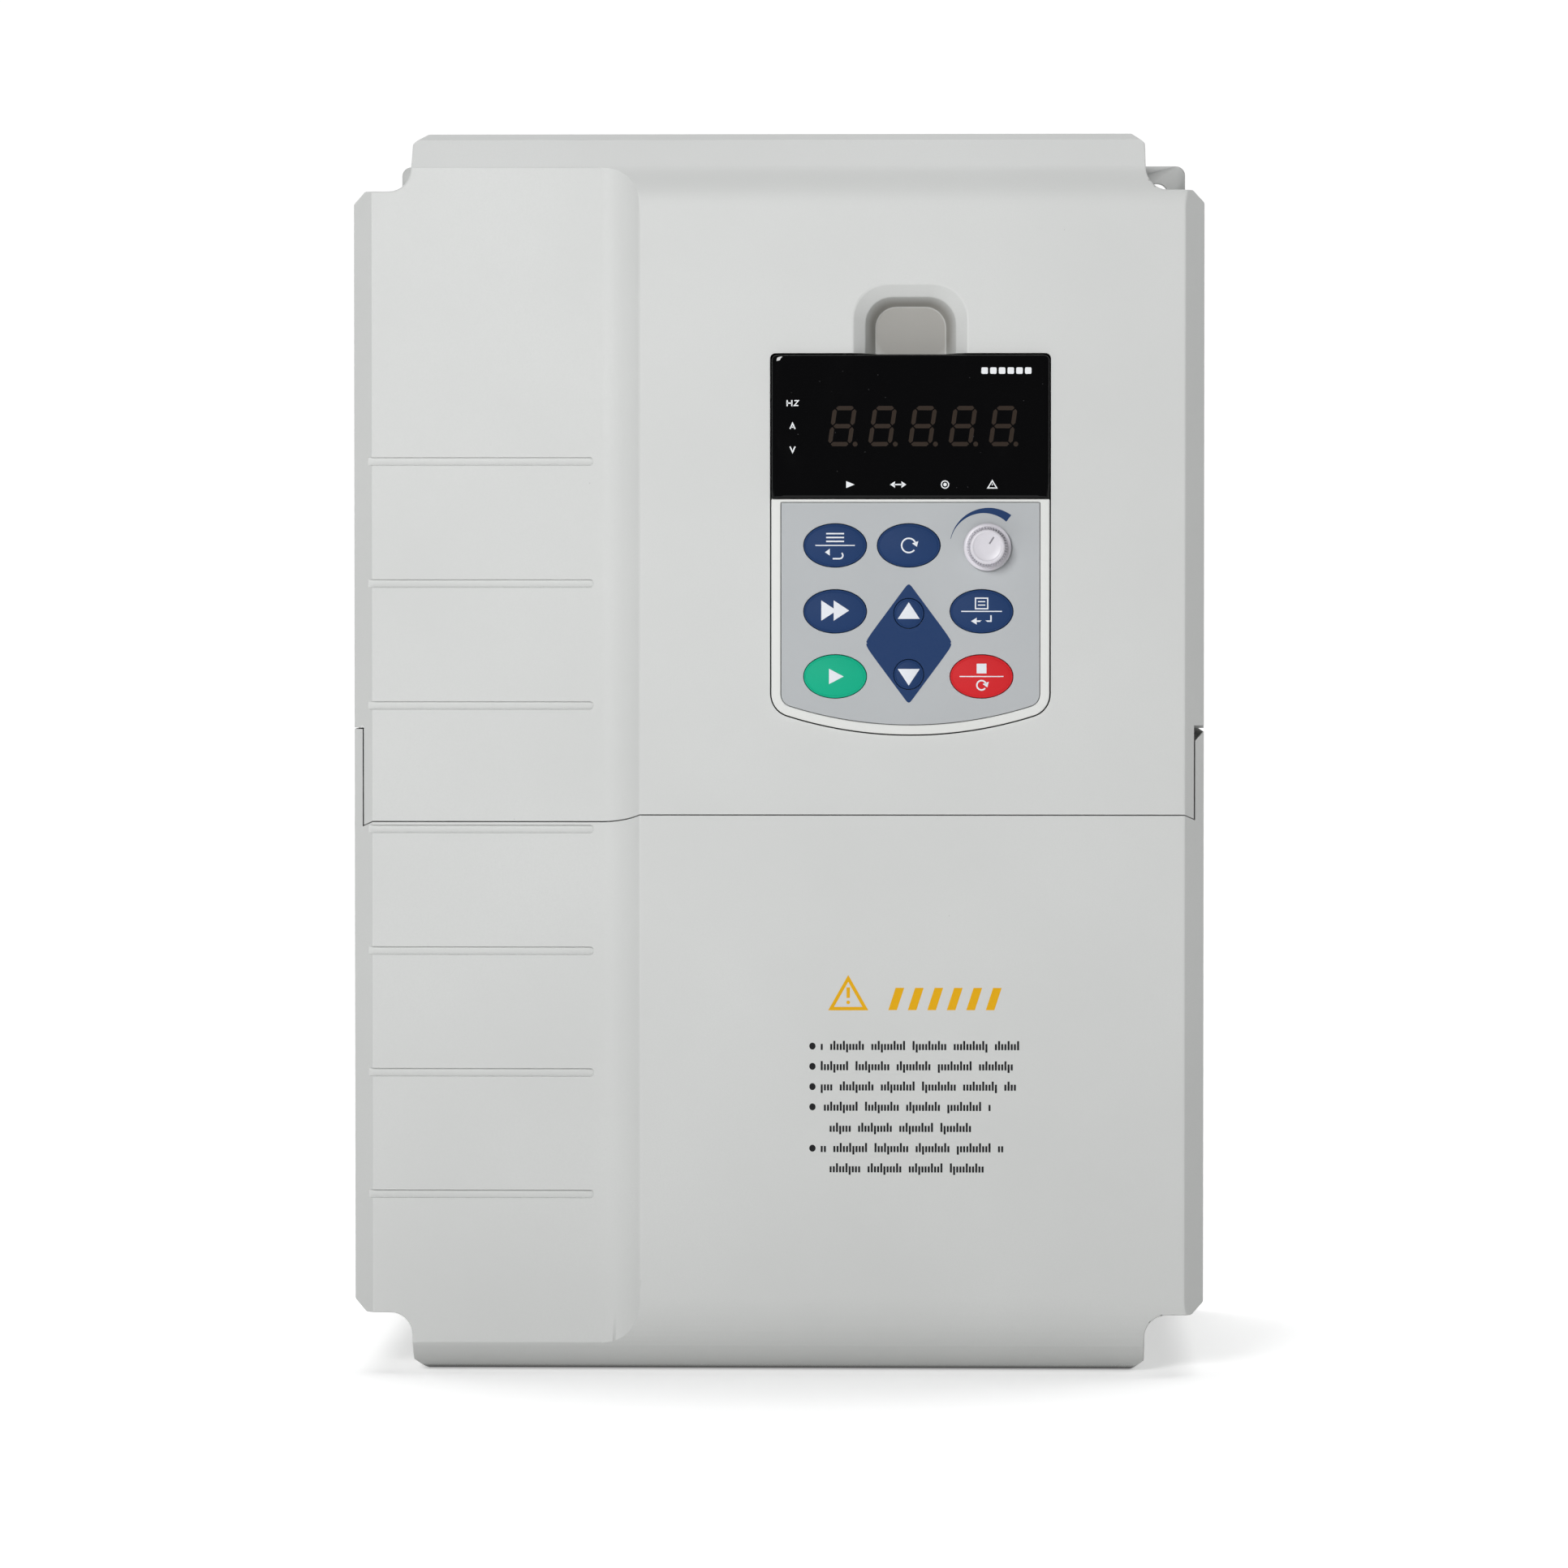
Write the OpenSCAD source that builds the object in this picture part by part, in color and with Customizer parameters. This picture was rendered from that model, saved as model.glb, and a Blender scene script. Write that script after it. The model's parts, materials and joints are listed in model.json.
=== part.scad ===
// Wall-mounted variable frequency drive with a removable keypad and a clip-on wiring cover.
// +X is to the right seen from the front, -Y is the front, +Z is up.
// The origin is on the back face, at the centre of the four wall-mounting holes.

/* [Case] */
// Width of the case
case_w = 210; // [206:1:220]
// Height of the case
case_h = 307; // [302:1:316]
// Depth from the wall to the main front face
case_d = 176; // [174:1:190]
// Wall thickness of the moulded covers
wall = 2.5; // [2:0.1:3]
// Width of the corner notches that give a screwdriver access
notch_w = 14.5; // [14:0.5:16]
// Height of the corner notches
notch_h = 15; // [14:0.5:16]
// Radius in the inner corner of each notch
notch_r = 5.5; // [4:0.5:6]
// Chamfer on the outer corners of the outline
corner_cut = 3; // [2:0.5:4]
// Chamfer along the two long front edges
side_cut = 4.8; // [4:0.2:6]
// Gap between parts that come apart
gap = 0.3; // [0.25:0.05:0.4]

/* [Front face] */
// Recess of the ribbed column on the left
column_d = 4; // [3:0.5:5]
// Right edge of the ribbed column
column_edge_x = -34; // [-40:1:-30]
// Width of the cove beside the column
cove_w = 9.6; // [8:0.2:10]
// Number of grooves across the column
groove_count = 7; // [5:1:7]
// Distance between grooves
groove_pitch = 30.1; // [29:0.05:30.5]
// Height of the top groove's centre
groove_top_z = 71.95; // [70:0.05:73]
// Height of the seam between the covers, on the main face
seam_z = -15.1; // [-16:0.1:-14]

/* [Wall mounting] */
// Horizontal distance between the mounting holes
bolt_x = 195; // [193:1:197]
// Vertical distance between the mounting holes
bolt_z = 292; // [290:1:294]
// Radius of the mounting holes
bolt_r = 3; // [2.5:0.25:3.25]
// Thickness of the mounting flange
flange_t = 6; // [5:0.5:8]

/* [Keypad] */
// Centre of the keypad
pad_x = 32.7; // [30:0.1:35]
// Top edge of the keypad
pad_top_z = 98.1; // [97:0.1:99]
// Width of the keypad
pad_w = 68.4; // [68:0.1:69]
// Height of the keypad
pad_h = 93.4; // [93:0.1:94]
// Radius of the keypad's bowed bottom edge
pad_bow_r = 100; // [90:5:120]
/* [Cooling] */
// Side of each square fan
fan_size = 70; // [68:1:70]
// Thickness of each fan
fan_t = 25; // [20:1:25]
// Distance of each fan from the middle
fan_x = 38; // [36:1:42]
// Number of heat sink fins
fin_count = 25; // [19:2:25]

/* [Hidden] */
$fn = 64;

shell_grey = [0.82, 0.83, 0.83];
navy = [0.11, 0.23, 0.42];
case_back = -100;              // where the covers meet the middle housing
mid_back = -78;                // where the middle housing meets the rear housing
seam_slope = 0.45;             // how fast the seam drops towards the back
seam_flat_y = -166;            // behind this the seam is level
seam_low_z = seam_z - seam_slope * (seam_flat_y + case_d);
blend_z = 134.5;               // the front face starts to curve away above this
top_blend_r = 13.8;
top_blend_a = 48;
top_edge_drop = 2;             // the top wall is drafted and rises by this much
top_edge_depth = 22;
bottom_blend_r = 19.5;
cove_r = (pow(cove_w, 2) + pow(column_d, 2)) / (2 * column_d);
cove_x = column_edge_x - cove_w;
groove_h = 2;
groove_d = 1;
groove_end_x = -45.6;
groove_end_r = 0.8;
lower_groove_drop = 0.4;       // the lower cover's grooves sit this much lower
tab_t = 2.2;                   // thickness of the lower cover's side tabs
tab_top_z = 5.9;
tab_back_y = -130;
recess_w = [28, 22.3, 17.4];   // finger recess: at the face, below its chamfer and at its floor
recess_top_z = 115.3;
recess_d = 9;
recess_chamfer_d = 2.4;
recess_drop = [3, 5.2];        // how much lower the recess's top edge is below its chamfer and at its floor

pad_face_y = -177;             // front of the keypad's shell
pad_split_y = -166;            // where the keypad's two shells meet
pad_back_y = -158;
pad_floor_y = -157.5;          // floor of the pocket that holds the keypad
pad_bottom_z = pad_top_z - pad_h;
window_z = 62.7;               // lower edge of the display window
overlay_y = -176.8;
overlay_t = 0.8;
overlay_w = 63.5;
overlay_top_z = 61.7;
overlay_bottom_z = 7.1;
key_x = [14.2, 32.3, 50.2];
key_z = [51.2, 35, 19];
key_a = 7.7;                   // half the width and half the height of an oval key
key_b = 5.3;
arrow_r = 3.65;
arrow_z = [34.5, 19.5];
knob_x = 51.6;
knob_z = 50.8;
knob_r = 5.85;
key_seat_y = -173.2;           // back of a key's cap
board_y = -164;                // front of the keypad's circuit board
board_t = 1.6;

sink_front_y = mid_back;       // the heat sink's base rests against the middle housing
fan_y = -39;
fan_z = 123.5;                 // underside of the fans
power_y = -90.4;               // back of the power board
control_y = -140;              // back of the control board
control_x = [-10, 92];
control_z = [-98, 94];
plug_z = 80;
grommet_x = [-52, 0, 52];
grommet_y = -124;
grommet_r = 11;
grommet_lip = 1.9;
plate_z = -148;                // underside of the cable plate
plate_t = 2;
floor_t = 3;                   // floor of the middle housing
boss_x = 80;                   // posts that join the rear and middle housings
boss_z = [130, -140];
sink_screw_z = [105, -100];
cover_post_x = [-62, 64];
cover_post_z = 126;
board_top_z = 116;             // top edge of the power board
board_screw_z = [-98, 111];
ring_step = 4.8;               // distance between the fan grille's rings
module_holes = [[-72, -20], [-72, 60], [-18, -20], [-18, 60], [12, -32], [12, 72], [82, -32], [82, 72]];
terminal_count = 9;            // power terminals
terminal_pitch = 18.2;
pillar_places = [[-4, -92], [86, -92], [-4, 88], [86, 88]];
pad_screw_places = [[3.8, 27], [61.6, 27], [3.8, 88], [61.6, 88]];
latch_y = -160.2;              // pivot of the keypad's latch
latch_z = 94.4;
latch_room_z = 91.9;           // lower edge of the space the latch moves in
strip_pitch = 5.08;            // control terminals
strip_count = 14;

// ---------- outlines and helpers ----------

// Points along an arc, anticlockwise if a1 is larger than a0.
function arc(cx, cy, r, a0, a1, n = 10) =
    [for (i = [0:n]) [cx + r * cos(a0 + (a1 - a0) * i / n), cy + r * sin(a0 + (a1 - a0) * i / n)]];

function ellipse_points(a, b, n = 48) = [for (i = [0:n - 1]) [a * cos(360 * i / n), b * sin(360 * i / n)]];

// Turns a shape drawn in x and z into a slab between two depths.
module slab(front_y, back_y) {
    translate([0, back_y, 0]) rotate([90, 0, 0]) linear_extrude(back_y - front_y) children();
}

// Turns a shape drawn in y and z into a bar along x.
module along_x(x0, x1) {
    translate([x0, 0, 0]) rotate([90, 0, 90]) linear_extrude(x1 - x0) children();
}

// A cylinder along y, from back_y towards the front.
module peg(x, z, r, front_y, back_y) {
    translate([x, back_y, z]) rotate([90, 0, 0]) cylinder(r = r, h = back_y - front_y);
}

module block(x, y, z) {
    translate([x[0], y[0], z[0]]) cube([x[1] - x[0], y[1] - y[0], z[1] - z[0]]);
}

module rounded_rect(w, h, r) {
    x = w / 2 - r;
    z = h / 2 - r;
    polygon(concat(arc(x, z, r, 0, 90, 6), arc(-x, z, r, 90, 180, 6), arc(-x, -z, r, 180, 270, 6),
        arc(x, -z, r, 270, 360, 6)));
}

// One quarter of the notched case outline, from the right-hand side up to the top.
function quarter_outline(g) =
    let (hw = case_w / 2 + g, hh = case_h / 2 + g, nx = case_w / 2 - notch_w + g,
        nz = case_h / 2 - notch_h + g, r = notch_r - g)
    concat([[hw, nz - corner_cut], [hw - corner_cut, nz]], arc(nx + r, nz + r, r, 270, 180, 8),
        [[nx, hh - corner_cut], [nx - corner_cut, hh]]);

function reversed(p) = [for (i = [len(p) - 1:-1:0]) p[i]];

// The case outline with its four corner notches, grown by g.
module case_outline(g = 0) {
    q = quarter_outline(g);
    polygon(concat(q, [for (p = reversed(q)) [-p[0], p[1]]], [for (p = q) [-p[0], -p[1]]],
        [for (p = reversed(q)) [p[0], -p[1]]]));
}

// Side view of the covers, in y and z: curved away at the top and at the bottom.
module side_profile(s) {
    top = case_h / 2 - s;
    rt = top_blend_r - s;
    ct = -(case_d - top_blend_r);
    slope_z = blend_z + rt * sin(top_blend_a);
    edge_z = top - top_edge_drop;
    edge_y = ct - rt * cos(top_blend_a) + (edge_z - slope_z) * tan(top_blend_a);
    rb = bottom_blend_r - s;
    cb = -(case_d - bottom_blend_r);
    polygon(concat([[case_back, top], [-case_d + top_edge_depth, top], [edge_y, edge_z]],
        arc(ct, blend_z, rt, 180 - top_blend_a, 180, 14),
        arc(cb, -case_h / 2 + bottom_blend_r, rb, 180, 270, 20), [[case_back, -top]]));
}

// Plan of the covers, in x and y: chamfered long edges, recessed column and its cove.
module plan_profile(s) {
    f = -(case_d - s);
    hw = case_w / 2 - s;
    slant = s * (sqrt(2) - 1);
    low = f + column_d;
    rc = cove_r + s;
    reach = acos((rc - column_d) / rc);
    back = side_cut + slant - s;
    edge = hw - side_cut - slant + s;
    polygon(concat([[hw, case_back], [hw, f + back], [edge, f]],
        arc(cove_x, -case_d + column_d - cove_r, rc, 90 - reach, 90, 20),
        [[-edge, low], [-hw, low + back], [-hw, case_back]]));
}

// The solid space inside the covers' outer surface, taken in by s on every side but the back.
module cover_space(s) {
    intersection() {
        slab(-case_d, case_back) case_outline(-s);
        along_x(-case_w, case_w) side_profile(s);
        translate([0, 0, -case_h]) linear_extrude(2 * case_h) plan_profile(s);
    }
}

// The region above the seam between the covers, in y and z, shifted down by d.
module above_seam(d) {
    polygon([[-case_d - 5, seam_z + 5 * seam_slope - d], [seam_flat_y, seam_low_z - d],
        [case_back + 5, seam_low_z - d], [case_back + 5, case_h], [-case_d - 5, case_h]]);
}

// The keypad's outline in x and z, grown by g.
module pad_outline(g = 0) {
    w = pad_w / 2 + g;
    r = 5.5 + g;
    big = pad_bow_r + g;
    cz = pad_bottom_z + pad_bow_r;
    x0 = w - r;
    z0 = cz - sqrt(pow(big - r, 2) - pow(x0, 2));
    a = asin(x0 / (big - r));
    t = pad_top_z + g;
    rt = 1.3;
    translate([pad_x, 0]) polygon(concat(arc(w - rt, t - rt, rt, 0, 90, 5), arc(-w + rt, t - rt, rt,
        90, 180, 5),
        arc(-x0, z0, r, 180, 270 - a, 8), arc(0, cz, big, 270 - a, 270 + a, 24), arc(x0, z0, r,
            270 + a, 360, 8)));
}

// The printed overlay's outline: a smaller keypad outline, cut off under the window.
module overlay_outline(g = 0) {
    intersection() {
        pad_outline(-(pad_w - overlay_w) / 2 + g);
        translate([-10, overlay_bottom_z - 10]) square([100, overlay_top_z - overlay_bottom_z + 10 + g]);
    }
}

// Places the children at each oval key.
module at_oval_keys() {
    for (ix = [0:2], iz = [0:2])
        if (!(ix == 1 && iz > 0) && !(ix == 2 && iz == 0))
            translate([key_x[ix], key_z[iz]]) children();
}

// The openings for the keys, in x and z, grown by g.
module key_openings(g) {
    at_oval_keys() polygon(ellipse_points(key_a + g, key_b + g));
    for (z = arrow_z) translate([key_x[1], z]) circle(r = arrow_r + g);
}

// A pan-head screw along y whose head faces the front.
module screw(x, z, seat_y, r, length) {
    head_r = r * 1.9;
    head_h = r * 1.1;
    difference() {
        union() {
            peg(x, z, r, seat_y, seat_y + length);
            peg(x, z, head_r, seat_y - head_h, seat_y);
        }
        for (a = [0, 90]) translate([x, seat_y - head_h, z]) rotate([0, a + 20, 0])
            cube([head_r * 1.3, head_h, r * 0.35], center = true);
    }
}

// ---------- case ----------

// Back shell: air duct for the heat sink, with the wall flange.
module rear_housing() {
    color(shell_grey) difference() {
        union() {
            slab(-flange_t, 0) rounded_rect(case_w, case_h, 2.5);
            difference() {
                slab(mid_back, -flange_t + 0.01) case_outline();
                slab(mid_back - 1, -3) case_outline(-wall);
            }
            for (x = [-boss_x, boss_x], z = boss_z) peg(x, z, 3.5, mid_back, -2.9);
            block([-74, 74], [-10, -2.9], [119.5, fan_z - gap]);
        }
        slab(-flange_t - 0.01, -3) difference() {
            case_outline(-wall);
            for (x = [-boss_x, boss_x], z = boss_z) translate([x, z]) circle(r = 3.5);
            translate([-74, 119.5]) square([148, fan_z - gap - 119.5]);
        }
        slab(-10, 1) rounded_rect(184, 236, 4);
        for (x = [-1, 1], z = [-1, 1]) peg(x * bolt_x / 2, z * bolt_z / 2, bolt_r, -flange_t - 1, 1);
        for (x = [-80:8:80]) block([x - 2.2, x + 2.2], [-70, -10], [-case_h / 2 - 1,
            -case_h / 2 + wall + 1]);
        block([-82, 82], [-76, -5], [case_h / 2 - wall - 1, case_h / 2 + 1]);
        for (s = [-1, 1], z = [-110:10:100]) block([s * 104 - 3, s * 104 + 3], [-68, -52], [z - 2, z + 2]);
        for (x = [-boss_x, boss_x], z = boss_z) peg(x, z, 1.65, mid_back - 1, mid_back + 16);
        fan_screw_pilots();
    }
}

// Middle frame: carries the boards, and its lip locates the covers.
module mid_housing() {
    color(shell_grey) difference() {
        union() {
            difference() {
                union() {
                    slab(case_back, mid_back) case_outline();
                    slab(case_back - 4, case_back + 0.01) case_outline(-wall - gap);
                }
                slab(case_back - 5, mid_back - floor_t) case_outline(-wall - gap - 1.8);
            }
            for (x = [-1, 1], z = board_screw_z) peg(x * 88, z, 4, power_y, mid_back - floor_t + 0.01);
            for (x = cover_post_x) peg(x, cover_post_z, 4, case_back, mid_back - floor_t + 0.01);
            block([-74, 74], [mid_back - 1, -68], [119.5, fan_z - gap]);
            for (s = [-1, 1]) cheek(s);
        }
        slab(mid_back - floor_t - 1, mid_back + 1) rounded_rect(184, 170, 4);
        for (x = [-1, 1], z = board_screw_z) peg(x * 88, z, 1.55, power_y - 1, mid_back - floor_t - 0.5);
        for (x = cover_post_x) peg(x, cover_post_z, 1.7, case_back - 1, mid_back + 1);
        for (x = [-boss_x, boss_x], z = concat(boss_z, sink_screw_z)) peg(x, z, 2.1, -90, mid_back + 1);
        fan_screw_pilots();
    }
}

// Holes in the ledges under the fans.
module fan_screw_pilots() {
    half = fan_size / 2 - 4;
    for (fx = [-fan_x, fan_x], sx = [-1, 1], sy = [-1, 1])
        translate([fx + sx * half, fan_y + sy * half, 118]) cylinder(r = 1.65, h = 10);
}

// One side of the cable entry, with a groove that the cable plate slides into.
module cheek(s) {
    block([s * 81.6 - 1.4, s * 81.6 + 1.4], [-149, -90], [-150.1, -141]);
    for (z = [plate_z - gap - 1.6, plate_z + plate_t + gap])
        block([s * 79.4 - 1.4, s * 79.4 + 1.4], [-149, -106], [z, z + 1.6]);
}

// Fixed front cover: keypad pocket, finger recess and the upper part of the ribbed column.
module upper_cover() {
    color(shell_grey) difference() {
        union() {
            intersection() {
                difference() {
                    cover_space(0);
                    cover_space(wall);
                }
                along_x(-case_w, case_w) above_seam(-gap / 2);
            }
            intersection() {
                cover_space(wall - 0.5);
                union() {
                    slab(-case_d, pad_floor_y + 2) pad_outline(gap + 2);
                    slab(-case_d, -case_d + recess_d + 2) recess_outline(recess_w[0] + 3, 1.5);
                }
            }
            for (s = [-1, 1]) tab_backing(s);
            for (x = cover_post_x) cover_post(x, cover_post_z);
        }
        slab(-case_d - 5, pad_floor_y) pad_outline(gap);
        block([pad_x - 9, pad_x + 9], [pad_floor_y - 1, pad_floor_y + 3], [plug_z - 8, plug_z + 8]);
        finger_recess();
        grooves();
        for (s = [-1, 1], cut = [[tab_back_y + 0.4, gap], [-case_d + 7, 1]])
            block([s * 104.5 - 2, s * 104.5 + 2], [-case_d - 1, cut[0]], [seam_low_z - 10,
                tab_top_z + cut[1]]);
        top_vents();
    }
}

// Inner skin behind each side tab of the lower cover.
module tab_backing(s) {
    block([s * 101.4 - 1.5, s * 101.4 + 1.5], [-166, tab_back_y + 3], [seam_low_z + gap / 2,
        tab_top_z + 4]);
}

module cover_post(x, z) {
    difference() {
        intersection() {
            cover_space(wall - 0.5);
            peg(x, z, 3.5, -180, case_back - gap);
        }
        peg(x, z, 1.5, -140, case_back + 1);
    }
}

// Arched recess above the keypad, for a fingertip.
module recess_outline(w, top_up) {
    r = w * 0.3;
    translate([pad_x, 0]) polygon(concat([[w / 2, pad_top_z - 3]], arc(w / 2 - r,
        recess_top_z + top_up - r, r, 0, 90, 8),
        arc(-w / 2 + r, recess_top_z + top_up - r, r, 90, 180, 8), [[-w / 2, pad_top_z - 3]]));
}

// The recess has a wide chamfer round its mouth and drafted sides below it.
module finger_recess() {
    mouth_y = -case_d + recess_chamfer_d;
    hull() {
        slab(-case_d - 0.1, -case_d) recess_outline(recess_w[0], 0);
        slab(mouth_y - 0.01, mouth_y) recess_outline(recess_w[1], -recess_drop[0]);
    }
    hull() {
        slab(mouth_y - 0.05, mouth_y) recess_outline(recess_w[1], -recess_drop[0]);
        slab(-case_d + recess_d - 0.01, -case_d + recess_d) recess_outline(recess_w[2], -recess_drop[1]);
    }
}

// Shallow grooves across the ribbed column, running out through the left chamfer.
module grooves() {
    y0 = -case_d + column_d;
    for (i = [0:groove_count - 1]) {
        z = groove_top_z - i * groove_pitch;
        drop = z < seam_z ? lower_groove_drop : 0;
        translate([0, 0, z - drop]) slab(y0 - 2, y0 + groove_d) groove_outline();
    }
}

// A groove seen from the front, with rounded corners at its right end.
module groove_outline() {
    x = groove_end_x - groove_end_r;
    z = groove_h / 2 - groove_end_r;
    polygon(concat([[-case_w / 2 - 1, -groove_h / 2]], arc(x, -z, groove_end_r, -90, 0, 5),
        arc(x, z, groove_end_r, 0, 90, 5), [[-case_w / 2 - 1, groove_h / 2]]));
}

// Slots in the top wall, in front of the fans, that let the electronics breathe.
module top_vents() {
    for (x = [-78:6:78]) block([x - 1.5, x + 1.5], [-150, -112], [case_h / 2 - wall - 1, case_h / 2 + 1]);
}

// Clip-on wiring cover with its two side tabs.
module lower_cover() {
    color(shell_grey) difference() {
        union() {
            intersection() {
                difference() {
                    cover_space(0);
                    cover_space(wall);
                }
                difference() {
                    slab(-case_d - 1, case_back - gap) square([2 * case_w, 2 * case_h], center = true);
                    along_x(-case_w - 1, case_w + 1) above_seam(gap / 2);
                }
            }
            intersection() {
                cover_space(0);
                for (s = [-1, 1]) difference() {
                    block([s * 103.9 - tab_t / 2, s * 103.9 + tab_t / 2], [-case_d, tab_back_y],
                        [seam_low_z - 12, tab_top_z]);
                    if (s > 0) slab(-case_d - 1, tab_back_y + 1)
                        polygon([[102, tab_top_z - 3.6], [105.5, tab_top_z], [105.5, 9], [102, 9]]);
                }
            }
            for (x = [-60, -10, 40, 85]) stiffening_rib(x);
        }
        grooves();
        block([-83.5, 83.5], [-150, case_back + 1], [-case_h / 2 - 1, plate_z + 9]);
    }
}

module stiffening_rib(x) {
    intersection() {
        cover_space(wall - 0.5);
        block([x - 0.8, x + 0.8], [-175, -163], [-140, seam_low_z - 6]);
    }
}

// Plate that closes the cable entries from below.
module cable_plate() {
    color([0.25, 0.26, 0.27]) difference() {
        block([-79.9, 79.9], [-148.7, -106], [plate_z, plate_z + plate_t]);
        for (x = grommet_x) translate([x, grommet_y, plate_z - 1]) cylinder(r = grommet_r + 2.5,
            h = plate_t + 2);
    }
}

// Rubber rings that line the cable entries.
module cable_grommets() {
    color([0.08, 0.08, 0.09]) for (x = grommet_x) translate([x, grommet_y,
        plate_z - grommet_lip]) difference() {
        union() {
            cylinder(r = grommet_r + 4, h = grommet_lip);
            cylinder(r = grommet_r + 2.5, h = plate_t + 2 * grommet_lip);
            translate([0, 0, plate_t + grommet_lip]) cylinder(r = grommet_r + 4, h = grommet_lip);
        }
        translate([0, 0, -1]) cylinder(r = grommet_r, h = plate_t + 2 * grommet_lip + 2);
    }
}

// Screws that hold the middle housing to the rear housing and to the heat sink.
module housing_screws() {
    color([0.7, 0.7, 0.72]) for (x = [-boss_x, boss_x], z = concat(boss_z, sink_screw_z))
        screw(x, z, mid_back - floor_t, 1.6, 14);
}

// ---------- cooling ----------

module heatsink() {
    fin_span = 192;
    color([0.75, 0.76, 0.77]) difference() {
        union() {
            block([-98, 98], [sink_front_y, sink_front_y + 12], [-130, 118]);
            for (i = [0:fin_count - 1]) {
                x = -fin_span / 2 + i * fin_span / (fin_count - 1);
                block([x - 1, x + 1], [sink_front_y + 11, -4], [-130, 118]);
            }
        }
        for (p = module_holes) peg(p[0], p[1], 1.55, sink_front_y - 1, sink_front_y + 9);
        for (x = [-boss_x, boss_x], z = sink_screw_z) peg(x, z, 1.65, sink_front_y - 1,
            sink_front_y + 11.5);
    }
}

module fan_frame(x) {
    half = fan_size / 2;
    color([0.07, 0.07, 0.08]) translate([x, fan_y, fan_z]) difference() {
        translate([-half, -half, 0]) cube([fan_size, fan_size, fan_t]);
        difference() {
            translate([0, 0, -1]) cylinder(r = half - 2, h = fan_t + 2, $fn = 96);
            translate([0, 0, -2]) cylinder(r = 13, h = 5.5);
            for (a = [45:90:315]) rotate([0, 0, a]) translate([10, -2, -2]) cube([half, 4, 4.5]);
        }
        translate([0, 0, -1]) cylinder(r = 1.55, h = fan_t);
        for (sx = [-1, 1], sy = [-1, 1]) translate([sx * (half - 4), sy * (half - 4), -1])
            cylinder(r = 2.2, h = fan_t + 2);
    }
}

module fan_rotor(x) {
    blade_count = 7;
    color([0.1, 0.1, 0.11]) translate([x, fan_y, fan_z + 4]) union() {
        cylinder(r = 13.5, h = 19);
        translate([0, 0, -3.5]) cylinder(r = 1.5, h = 4);
        intersection() {
            cylinder(r = fan_size / 2 - 3.5, h = 19, $fn = 96);
            for (i = [0:blade_count - 1]) rotate([0, 0, 360 * i / blade_count]) translate([12, 0, 9.5])
                rotate([38, 0, 0]) cube([fan_size / 2, 1.3, 24], center = false);
            for (i = [0:blade_count - 1]) rotate([0, 0, 360 * i / blade_count]) translate([12, 0, 9.5])
                rotate([38, 0, 0]) translate([0, 0, -24]) cube([fan_size / 2, 1.3, 24.01]);
        }
    }
}

// Lift-off grille above the fans.
module fan_cover() {
    z = case_h / 2 - wall;
    color(shell_grey) difference() {
        union() {
            block([-81.7, 81.7], [-75.7, -flange_t], [z, case_h / 2]);
            for (s = [-1, 1]) block([s * 79 - 1, s * 79 + 1], [-60, -20], [z - 9, z + 0.01]);
        }
        for (fx = [-fan_x, fan_x]) translate([fx, fan_y, z - 1]) difference() {
            for (i = [1:5]) difference() {
                cylinder(r = 8 + ring_step * i, h = wall + 2);
                translate([0, 0, -1]) cylinder(r = 5.6 + ring_step * i, h = wall + 4);
            }
            for (a = [0:60:300]) rotate([0, 0, a + 15]) translate([0, -1.2, -1]) cube([40, 2.4, wall + 4]);
        }
    }
}

module fan_screws() {
    half = fan_size / 2 - 4;
    color([0.6, 0.6, 0.62]) for (fx = [-fan_x, fan_x], sx = [-1, 1], sy = [-1, 1])
        translate([fx + sx * half, fan_y + sy * half, fan_z + fan_t]) difference() {
            union() {
                cylinder(r = 3.2, h = 1.4);
                translate([0, 0, -fan_t - 3]) cylinder(r = 1.6, h = fan_t + 3.01);
            }
            translate([-2.4, -0.35, 0.7]) cube([4.8, 0.7, 1]);
        }
}

// ---------- power section ----------

module rectifier_module() {
    power_module([-76, -14], [-28, 68]);
}

module inverter_module() {
    power_module([6, 88], [-40, 80]);
}

// A flat power module with a metal base and a notch round each screw.
module power_module(x, z) {
    color([0.13, 0.13, 0.14]) difference() {
        block(x, [power_y + 0.4, sink_front_y], z);
        for (p = module_holes) {
            peg(p[0], p[1], 3.6, power_y - 1, sink_front_y - 3);
            peg(p[0], p[1], 1.7, power_y - 1, sink_front_y + 1);
        }
    }
}

module module_screws() {
    color([0.7, 0.7, 0.72]) for (p = module_holes) screw(p[0], p[1], sink_front_y - 3, 1.5, 11);
}

module power_board() {
    color([0.1, 0.32, 0.2]) difference() {
        block([-94, 94], [power_y - board_t, power_y], [-104, board_top_z]);
        for (x = [-88, 88], z = board_screw_z) peg(x, z, 1.7, power_y - 3, power_y + 1);
    }
}

module power_board_screws() {
    color([0.7, 0.7, 0.72]) for (x = [-88, 88], z = board_screw_z) screw(x, z, power_y - board_t, 1.5, 7);
}

// Bank of four smoothing capacitors with a vent cross on each can.
module dc_capacitors() {
    back = power_y - board_t;
    color([0.1, 0.13, 0.2]) for (x = [-72, -34], z = [95, 57]) difference() {
        union() {
            peg(x, z, 17.5, back - 46, back);
            peg(x, z, 16.4, back - 47, back - 45.9);
        }
        peg(x, z, 14.5, back - 48, back - 46.6);
        for (a = [0, 90]) translate([x, back - 46.6, z]) rotate([0, a, 0]) cube([20, 0.5, 0.8],
            center = true);
    }
}

module power_relay() {
    back = power_y - board_t;
    color([0.12, 0.12, 0.13]) block([-90, -61], [back - 25, back], [8, 30]);
}

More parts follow.
